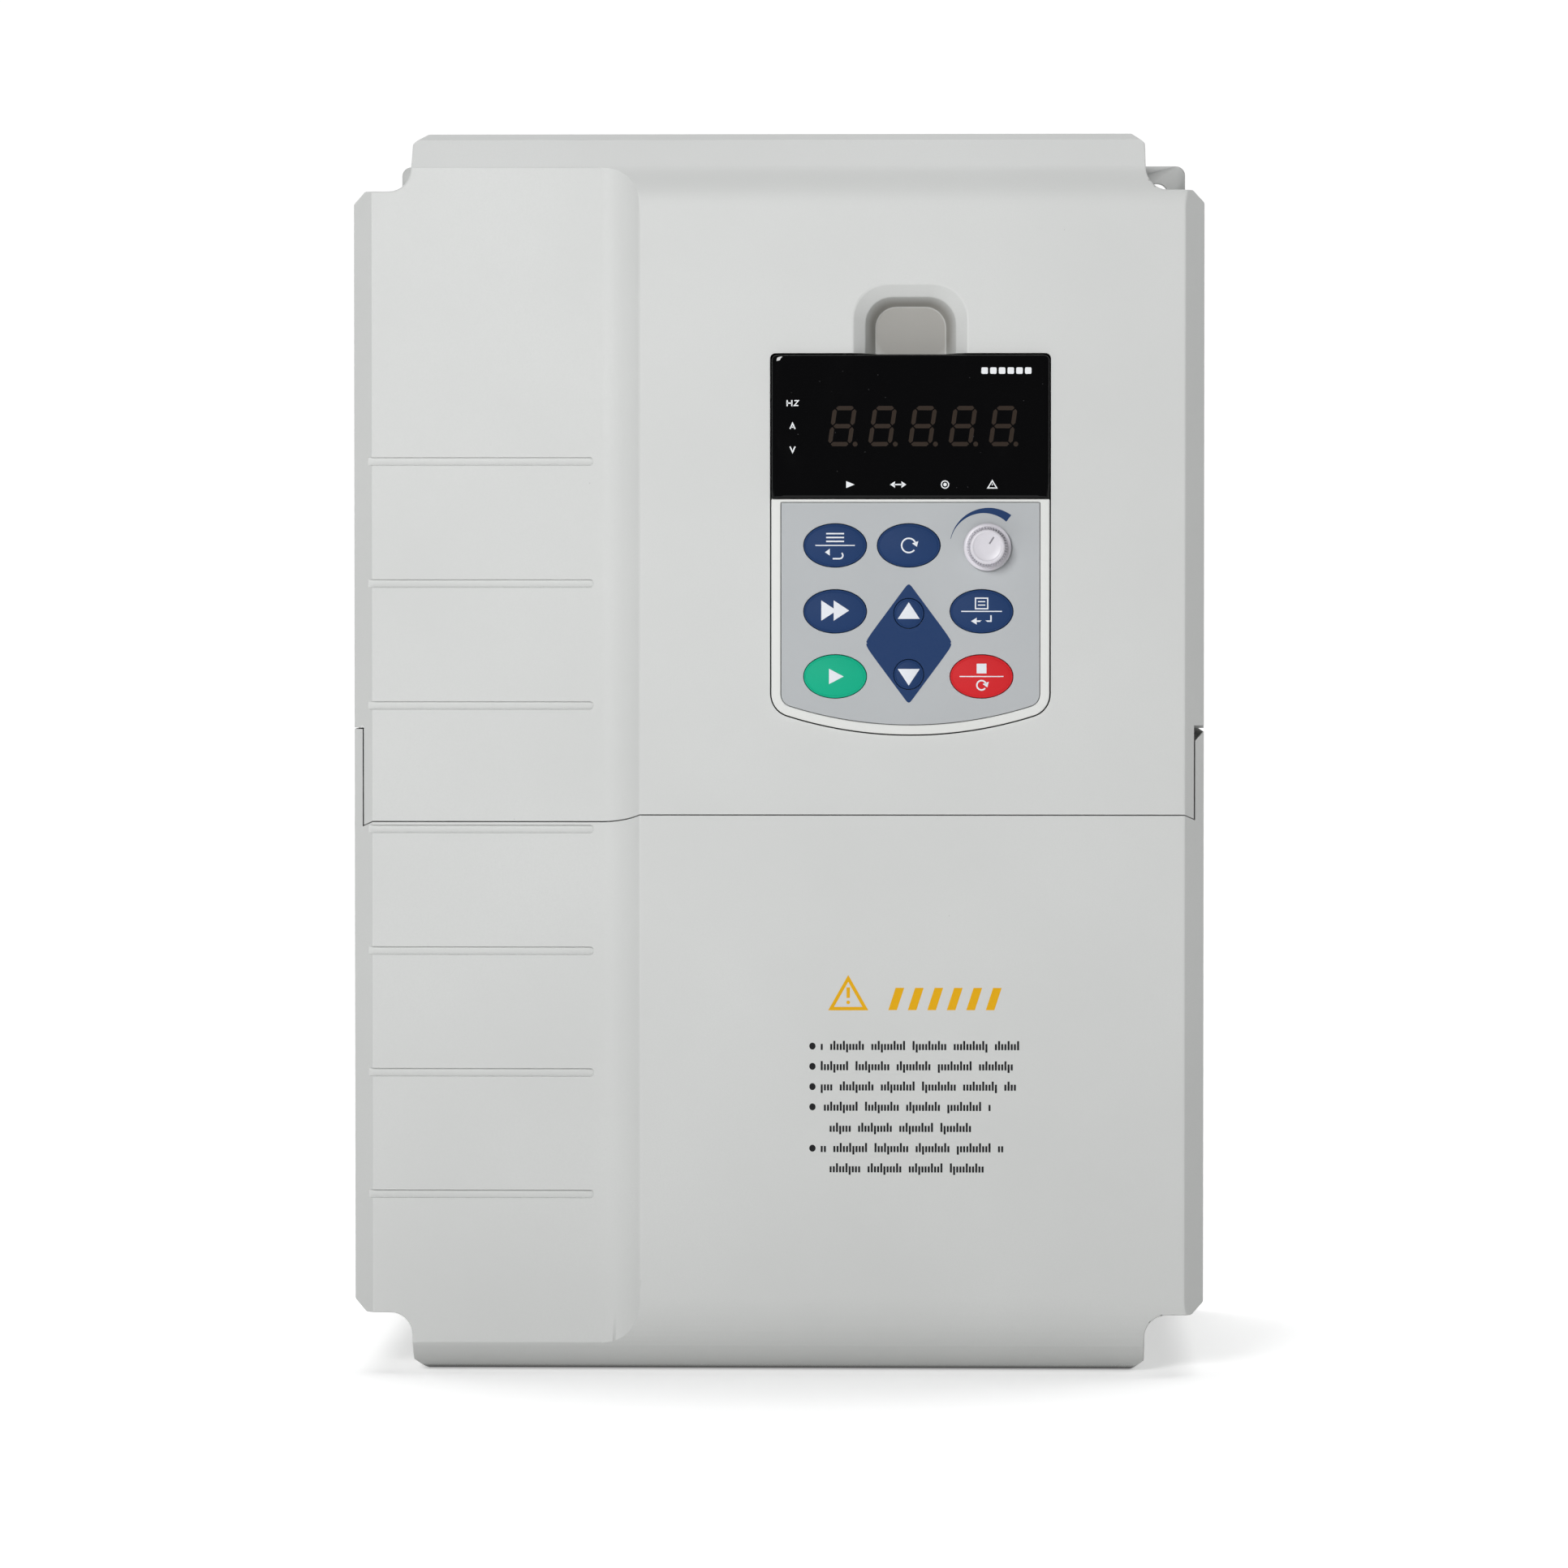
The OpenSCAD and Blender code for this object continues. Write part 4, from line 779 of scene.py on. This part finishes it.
# %% [markdown]
# ## Printed marks
# Marks are thin layers of ink. A filled shape is a loop that shrinks to its middle, and a line is a flat
# section carried along a path. Both are laid on the surface beneath them by that surface's own law y(x, z),
# a few hundredths of a millimetre proud. Words are left off: plain signs, bars and strokes take their place.

# %% Ink tools
INK = 0.03


def level(y):
    """The law of a flat surface facing the front."""
    return lambda x, z: np.full(np.shape(x), float(y))


def filled(loop, law, steps=3):
    """A filled convex shape of ink on the surface y = law(x, z)."""
    loop = np.asarray(loop, float)
    middle_point = loop.mean(0)
    size = np.linspace(1, 0, steps + 1)[:, None, None]
    flat = middle_point + size * (loop - middle_point)
    face = np.stack([flat[..., 0], law(flat[..., 0], flat[..., 1]) - INK, flat[..., 1]], -1)
    back = np.stack([loop[:, 0], law(loop[:, 0], loop[:, 1]) + INK, loop[:, 1]], -1)
    return ring_solid(np.concatenate([np.broadcast_to(back.mean(0), back.shape)[None], back[None], face]))


def line(path, width, law, closed=False):
    """A line of ink along a path: mitred at corners, flat in section."""
    path = np.asarray(path, float)
    if closed:
        before, after = np.roll(path, 1, 0), np.roll(path, -1, 0)
    else:
        before = np.vstack([2 * path[0] - path[1], path[:-1]])
        after = np.vstack([path[1:], 2 * path[-1] - path[-2]])
    d0, d1 = path - before, after - path
    d0 /= np.linalg.norm(d0, axis=1)[:, None]
    d1 /= np.linalg.norm(d1, axis=1)[:, None]
    n = np.stack([-(d0 + d1)[:, 1], (d0 + d1)[:, 0]], -1)
    n /= np.linalg.norm(n, axis=1)[:, None]
    n /= np.clip(np.sum(n * np.stack([-d0[:, 1], d0[:, 0]], -1), 1), 0.4, 1)[:, None]
    across = np.array([-1, -0.4, 0.4, 1, 1, -1]) * width / 2
    raise_by = np.array([-INK, -INK, -INK, -INK, INK, INK])
    flat = path[:, None, :] + across[None, :, None] * n[:, None, :]
    stack = np.stack([flat[..., 0], law(flat[..., 0], flat[..., 1]) + raise_by, flat[..., 1]], -1)
    if closed:
        stack = np.concatenate([stack, stack[:1]])
        return ring_solid(stack)
    return ring_solid(closed_stack(stack))


def bar(x0, z0, x1, z1, width, law):
    """A straight line of ink with enough points to follow a dome."""
    t = np.linspace(0, 1, 9)[:, None]
    return line(np.array([x0, z0]) * (1 - t) + np.array([x1, z1]) * t, width, law)


def ring_path(cx, cz, radius, start, end, points=28):
    """Points along an arc, angles in degrees."""
    a = np.radians(np.linspace(start, end, points))
    return np.column_stack([cx + radius * np.cos(a), cz + radius * np.sin(a)])


def disc(cx, cz, radius, law, tall=1.0):
    """A filled round or oval dot."""
    a = np.linspace(0, 2 * math.pi, 24, endpoint=False)
    return filled(np.column_stack([cx + radius * np.cos(a), cz + radius * tall * np.sin(a)]), law, 2)


def spread(corners, each=6):
    """A loop through the corners with extra points on its sides, so that it can follow a dome."""
    corners = np.asarray(corners, float)
    t = np.linspace(0, 1, each, endpoint=False)[None, :, None]
    return (corners[:, None] * (1 - t) + np.roll(corners, -1, 0)[:, None] * t).reshape(-1, 2)


print("ink tools ready")

# %% [markdown]
# ## Marks on the keys
# The signs say what each key does: a list and a way back, a circling arrow, fast forward, a page and an
# enter arrow, start, stop and reset, up and down. Keys with two jobs have a thin line between their signs.

# %% Marks on the keys
def sign_list(x, z, law):
    return [bar(x - 2.2, z + d, x + 2.2, z + d, 0.36, law) for d in (-0.95, 0, 0.95)]


def sign_back(x, z, law):
    hook = np.vstack([[x - 1.6, z + 0.5], [x + 1.1, z + 0.5], ring_path(x + 1.1, z - 0.3, 0.8, 90, -90, 10),
                      [x - 0.6, z - 1.1]])
    return [line(hook, 0.36, law), filled(spread([(x - 2.5, z + 0.5), (x - 1.3, z - 0.35), (x - 1.3, z + 1.35)]), law)]


def sign_circle_arrow(x, z, law, r=1.75):
    tip = np.array([x + r * math.cos(0.35), z + r * math.sin(0.35)])
    along, across = np.array([0.34, -0.94]), np.array([0.94, 0.34])
    head = [tip + 1.0 * along, tip + 0.82 * across - 0.2 * along, tip - 0.82 * across - 0.2 * along]
    return [line(ring_path(x, z, r, 20, 320, 36), 0.38, law), filled(spread(head), law)]


def sign_page(x, z, law):
    sheet = [(x - 1.5, z - 1.3), (x + 1.5, z - 1.3), (x + 1.5, z + 1.3), (x - 1.5, z + 1.3)]
    return [line(spread(sheet, 4), 0.32, law, closed=True),
            bar(x - 0.9, z + 0.45, x + 0.9, z + 0.45, 0.28, law), bar(x - 0.9, z - 0.4, x + 0.9, z - 0.4, 0.28, law)]


def sign_enter(x, z, law):
    return [line(np.array([(x + 2.3, z + 1.2), (x + 2.3, z - 0.25), (x - 1.3, z - 0.25)]), 0.36, law),
            filled(spread([(x - 2.6, z - 0.25), (x - 1.2, z - 1.1), (x - 1.2, z + 0.6)]), law)]


def sign_start(x, z, law):
    return [filled(spread([(x - 1.5, z - 1.9), (x + 2.1, z), (x - 1.5, z + 1.9)]), law)]


def sign_stop(x, z, law):
    return [filled(spread([(x - 1.2, z - 1.2), (x + 1.2, z - 1.2), (x + 1.2, z + 1.2), (x - 1.2, z + 1.2)]), law)]


def sign_forward(x, z, law):
    return [filled(spread([(x - 3.4, z - 2.5), (x + 0.4, z), (x - 3.4, z + 2.5)]), law),
            filled(spread([(x - 0.35, z - 2.5), (x + 3.45, z), (x - 0.35, z + 2.5)]), law)]


inner_half = (key_half[0] - rim_w, key_half[1] - rim_w)
upper, lower = 1.95, -2.15
layout = {
    "key_program": [(sign_list, upper), (sign_back, lower)], "key_jog": [(sign_circle_arrow, 0)],
    "key_shift": [(sign_forward, 0.2)], "key_enter": [(sign_page, upper), (sign_enter, lower)],
    "key_run": [(sign_start, 0)], "key_stop": [(sign_stop, upper), (sign_circle_arrow, lower)],
}
divider = {"key_program": 4.85, "key_enter": 5.0, "key_stop": 5.4}
for name, rows in layout.items():
    x, z = key_places[name]
    law = key_dome((x, z), inner_half)
    parts = []
    for sign, rise in rows:
        small = {"r": 1.15} if sign is sign_circle_arrow and rise else {}
        parts += sign(x, z + rise, law, **small)
    if name in divider:
        parts.append(bar(x - divider[name], z, x + divider[name], z, 0.26, law))
    piece(name + "_marks", parts, name, "white_ink")
turn = math.radians(90 - 33)
tick = np.array([[r * math.cos(turn) + knob_at[0], r * math.sin(turn) + knob_at[1]] for r in (0.9, 3.2)])
piece("speed_knob_pointer", [bar(*tick[0], *tick[1], 0.4, level(-184.75))], "speed_knob",
      "grey_ink")
for name, z, way in (("key_up", 34.5, 1), ("key_down", 19.5, -1)):
    law = key_dome((32.3, z), (3.2, 3.2), 0.34)
    tri = [(32.3 - 2.7, z - 1.35 * way), (32.3 + 2.7, z - 1.35 * way), (32.3, z + 2.75 * way)]
    piece(name + "_marks", [filled(spread(tri), law, 5)], name, "white_ink")
print("marked keys:", len(layout) + 2)

# %% [markdown]
# ## Prints on the overlay
# A blue diamond surrounds the up and down keys. It has a hole for each of them: each half is swept between the
# hole's circle and the diamond's outline, whose distance at an angle is a softened minimum over its four sides.
# The tapering arc above the knob runs between two circles with different middles.

# %% Prints on the overlay
overlay_law = level(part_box("keypad_overlay")[0].y / MM)


def diamond_half(way, centre=(32.3, 27.1), half=(11.1, 15.0), hole=3.8, softness=11):
    """One half of the diamond, swept round the hole of its arrow key."""
    key = np.array([32.3, 34.5 if way > 0 else 19.5])
    angle = np.linspace(0, 2 * math.pi, 180, endpoint=False)
    ray = np.stack([np.cos(angle), np.sin(angle)], -1)
    total = np.zeros(len(angle))
    for sx in (-1, 1):
        for sz in (-1, 1):
            normal = np.array([sx / half[0], sz / half[1]])
            gap = 1 - normal @ (key - centre)
            total += (np.clip(ray @ normal, 0, None) / gap) ** softness
    reach_out = total ** (-1 / softness)
    towards_middle = np.clip(-way * ray[:, 1], 1e-6, None)
    reach_out = np.minimum(reach_out, abs(key[1] - centre[1]) / towards_middle)
    rings = []
    for part, y in ((0, -INK), (0.5, -INK), (1, -INK), (1, INK), (0, INK), (0, -INK)):
        flat = key + ray * (hole + (reach_out - hole) * part)[:, None]
        rings.append(np.column_stack([flat[:, 0], overlay_law(flat[:, 0], flat[:, 1]) + y, flat[:, 1]]))
    return ring_solid(np.array(rings))


def tapering_arc(points=40):
    """An arc between an outer and an inner circle that meet at its tip."""
    t = np.linspace(0, 1, points)[:, None]
    outer = ring_path(knob_at[0] + 0.3, knob_at[1] + 0.1, 9.54, 54.2, 168.4, points)
    inner = ring_path(knob_at[0] - 0.9, knob_at[1] + 0.04, 8.3, 48.1, 166.4, points)
    y = float(overlay_law(0, 0))
    loop = [np.column_stack([edge[:, 0], np.full(points, y + lift), edge[:, 1]])
            for edge, lift in ((outer, -INK), (inner, -INK), (inner, INK), (outer, INK))]
    return ring_solid(closed_stack(np.stack(loop, 1)))


piece("overlay_blue_print", [diamond_half(1), diamond_half(-1), tapering_arc()], "keypad", "blue_ink")
print("overlay printed")

# %% [markdown]
# ## The display
# Behind the window the unlit digits show as faint brown segments. Each is a flattened hexagon, and every digit
# leans by about eight degrees. Beside them stand the units and below them small status signs.

# %% The display
window_law = level(wy0)


def segment(x0, z0, x1, z1, thick, origin, lean):
    """A hexagonal segment from one end to the other, leaned about origin."""
    a, b = np.array([x0, z0]), np.array([x1, z1])
    d = (b - a) / np.linalg.norm(b - a)
    n = np.array([-d[1], d[0]]) * thick / 2
    e = d * thick / 2
    loop = np.array([a, a + e - n, b - e - n, b, b - e + n, a + e + n])
    loop[:, 0] += math.tan(math.radians(lean)) * loop[:, 1]
    return filled(loop + origin, window_law, 1)


def digit(x, z, w=2.4, h=4.42, thick=1.05, gap=0.22, lean=8.4):
    """Seven segments and a point."""
    rows = [(-w + gap, s * h, w - gap, s * h) for s in (-1, 0, 1)]
    sides = [(s * w, r * gap, s * w, r * (h - gap)) for s in (-1, 1) for r in (-1, 1)]
    parts = [segment(*ends, thick, (x, z), lean) for ends in rows + sides]
    return parts + [disc(x + 3.15, z - h, 0.6, window_law)]


digits = []
for i in range(5):
    digits += digit(15.95 + 9.87 * i, 80.5)
piece("display_digits", digits, "keypad", "unlit_segment")

word = 0.32
units = [
    bar(2.4, 85.4, 2.4, 86.9, word, window_law), bar(3.55, 85.4, 3.55, 86.9, word, window_law),
    bar(2.4, 86.15, 3.55, 86.15, word, window_law),
    line([(4.15, 86.75), (5.15, 86.75), (4.15, 85.55), (5.15, 85.55)], 0.28, window_law),
    line([(3.1, 79.8), (3.73, 81.2), (4.36, 79.8)], word, window_law), bar(3.35, 80.25, 4.1, 80.25, 0.26, window_law),
    line([(3.1, 75.5), (3.73, 74.1), (4.36, 75.5)], word, window_law),
]
status = [filled([(16.9, 65.3), (19.0, 66.15), (16.9, 67.0)], window_law, 1)]
status += [bar(28.7, 66.15, 30.7, 66.15, 0.34, window_law),
           filled([(27.7, 66.15), (28.9, 65.35), (28.9, 66.95)], window_law, 1),
           filled([(31.7, 66.15), (30.5, 66.95), (30.5, 65.35)], window_law, 1)]
status += [disc(41.2, 66.15, 0.42, window_law), line(ring_path(41.2, 66.15, 0.9, 0, 350, 24), 0.26, window_law, closed=True)]
status += [line([(51.7, 65.3), (53.9, 65.3), (52.8, 67.1)], 0.28, window_law, closed=True),
           bar(52.8, 65.95, 52.8, 66.4, 0.22, window_law)]
title = [filled(rounded_loop(50.1 + 2.14 * i, 51.7 + 2.14 * i, 93.3, 94.9, 0.3, 4), window_law, 1) for i in range(6)]
piece("display_signs", units + status + title, "keypad", "pale_ink")
print("display parts:", len(digits) + len(units) + len(status) + len(title))

# %% [markdown]
# ## Print on the wiring cover
# A notice is printed low on the wiring cover. Its words are left off: a plain triangle and slanting stripes
# stand for its heading, and rows of short strokes with round bullets for its lines. The strokes follow a fixed
# pattern of word lengths and stroke heights, so they read as lines of print from a distance and as nothing close by.

# %% Print on the wiring cover
cover_law = level(-176.0)
corner = np.array([(13.2, -62.85), (21.65, -62.85), (17.42, -55.4)])
sign = [line(corner, 0.85, cover_law, closed=True), bar(17.42, -60.2, 17.42, -57.6, 0.85, cover_law),
        disc(17.42, -61.3, 0.45, cover_law)]
stripes = [filled([(27.3 + 4.8 * i, -63.2), (29.4 + 4.8 * i, -63.2), (31.2 + 4.8 * i, -57.7),
                   (29.1 + 4.8 * i, -57.7)], cover_law, 1) for i in range(6)]
piece("notice_heading", sign + stripes, "lower_cover", "yellow_ink")


def stroke_row(x0, x1, z, seed):
    """One line of the notice: short upright strokes grouped into words, all at once as arrays of places."""
    spot = np.arange(x0, x1, 0.78)
    count = np.arange(len(spot)) + seed * 7
    words = (count * 5 + seed * 3) % 13
    keep = (words != 4) & (words != 9)
    tall = (count * 7 + seed) % 11
    top = np.where(tall < 3, 1.3, 0.55)
    foot = np.where(tall == 7, -1.55, -0.95)
    return [filled([(x - 0.25, z + f), (x + 0.25, z + f), (x + 0.25, z + t), (x - 0.25, z + t)], cover_law, 1)
            for x, f, t in zip(spot[keep], foot[keep], top[keep])]


rows_of_notice = [(10.9, 59.3, -72.1, 1), (10.9, 59.4, -77.1, 1), (10.9, 59.0, -82.1, 1), (10.9, 52.6, -87.1, 1),
                  (13.1, 48.2, -92.3, 0), (10.9, 55.6, -97.3, 1), (13.1, 50.8, -102.3, 0)]
notice = []
for number, (x0, x1, z, bullet) in enumerate(rows_of_notice):
    notice += stroke_row(x0, x1, z, number + 1)
    if bullet:
        notice.append(disc(8.6, z, 0.78, cover_law, 1.1))
piece("notice_lines", notice, "lower_cover", "dark_ink")
print("strokes in the notice:", len(notice))

# %% [markdown]
# ## Capacitors
# Each smoothing capacitor is an aluminium can in a shrunk sleeve. The sleeve folds over the can's shoulder and
# leaves a round of bare metal with a pressed vent cross. Sleeve and bare top are turned profiles, and the cross
# is two shallow ridges.

# %% Capacitors
can_low, can_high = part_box("dc_capacitors")
can_r = 17.5
can_x = (can_low.x / MM + can_r, can_high.x / MM - can_r)
can_z = (can_low.z / MM + can_r, can_high.z / MM - can_r)
front, back = can_low.y / MM, can_high.y / MM
sleeve = [(0, back), (17.1, back), (17.5, back - 0.4), (17.5, front + 2.2), (17.3, front + 1.2), (16.8, front + 0.45),
          (16.0, front + 0.08), (15.2, front), (14.9, front + 0.12), (14.8, front + 0.5), (0, front + 0.6)]
bead = [(17.5, back - 5), (17.2, back - 5.8), (16.9, back - 6.5), (17.2, back - 7.2), (17.5, back - 8)]
sleeve = sleeve[:3] + bead + sleeve[3:]
top = [(0, front + 0.75), (14.85, front + 0.75), (14.85, front + 0.4), (14.6, front + 0.3), (14.2, front + 0.36),
       (0, front + 0.36)]
cans = [(x, z) for x in can_x for z in can_z]
piece("capacitor_sleeves", [ring_solid(turned(sleeve, c, 72)) for c in cans], "root",
      "capacitor_sleeve", ("dc_capacitors",))
ridges = []
for x, z in cans:
    for ax, az in ((1, 0), (0, 1)):
        ridges.append(line([(x - 9 * ax, z - 9 * az), (x + 9 * ax, z + 9 * az)], 0.8, level(front + 0.33)))
piece("capacitor_tops", [ring_solid(turned(top, c, 72)) for c in cans] + ridges, "root",
      "aluminium")
print("capacitors:", len(cans))

# %% [markdown]
# ## Fan rotors
# Seven blades sweep out of a round hub. A blade is one section, thin and cambered, carried from the hub to the
# tip while it twists flatter and leans forward. The section's height above its chord is a parabola for the
# camber plus and minus half its thickness.

# %% Fan rotors
def rotor_blade(turn, centre, z_mid, inner=12.6, outer=31.3, stations=9, around=20):
    """Rings of one blade from root to tip about a vertical axis."""
    s = np.linspace(0, 1, stations)[:, None]
    loop = np.linspace(0, 2 * math.pi, around, endpoint=False)[None, :]
    along, thick = np.cos(loop), np.sin(loop)
    chord = 13.5 + 5.0 * s
    pitch = np.radians(46 - 16 * s)
    u = along * chord / 2
    w = 1.7 * (1 - along ** 2) + thick * 0.62 * (1 - 0.35 * s)
    radius = inner + (outer - inner) * s
    angle = turn + 0.16 * s + (u * np.cos(pitch) - w * np.sin(pitch)) / radius
    height = np.clip(z_mid + u * np.sin(pitch) + w * np.cos(pitch), z_mid - 8.9, z_mid + 8.9)
    return np.stack([centre[0] + radius * np.cos(angle), centre[1] + radius * np.sin(angle), height], -1)


for side_name in ("left", "right"):
    node = "fan_rotor_" + side_name
    lo, hi = (np.array(c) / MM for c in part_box(node))
    centre = ((lo[0] + hi[0]) / 2, (lo[1] + hi[1]) / 2)
    z1 = hi[2]
    z0 = z1 - 19
    hub = [(0, z0), (12.9, z0), (13.5, z0 + 0.6), (13.5, z1 - 1.4), (13.3, z1 - 0.6), (12.7, z1 - 0.1), (12, z1),
           (8.6, z1), (8.4, z1 - 0.15), (8.2, z1), (0, z1)]
    spun = turned(hub, (centre[0], 0), 64)
    spun = np.stack([spun[..., 0], centre[1] + spun[..., 2], spun[..., 1]], -1)
    pin = turned([(0, lo[2]), (1.35, lo[2]), (1.35, z0 + 0.1), (0, z0 + 0.1)], (centre[0], 0), 24)
    pin = np.stack([pin[..., 0], centre[1] + pin[..., 2], pin[..., 1]], -1)
    blades = [ring_solid(closed_stack(rotor_blade(2 * math.pi * i / 7, centre, (z0 + z1) / 2))) for i in range(7)]
    piece(node + "_swept", blades + [ring_solid(spun), ring_solid(pin)], node, "black_plastic", (node,))
print("rotors made")
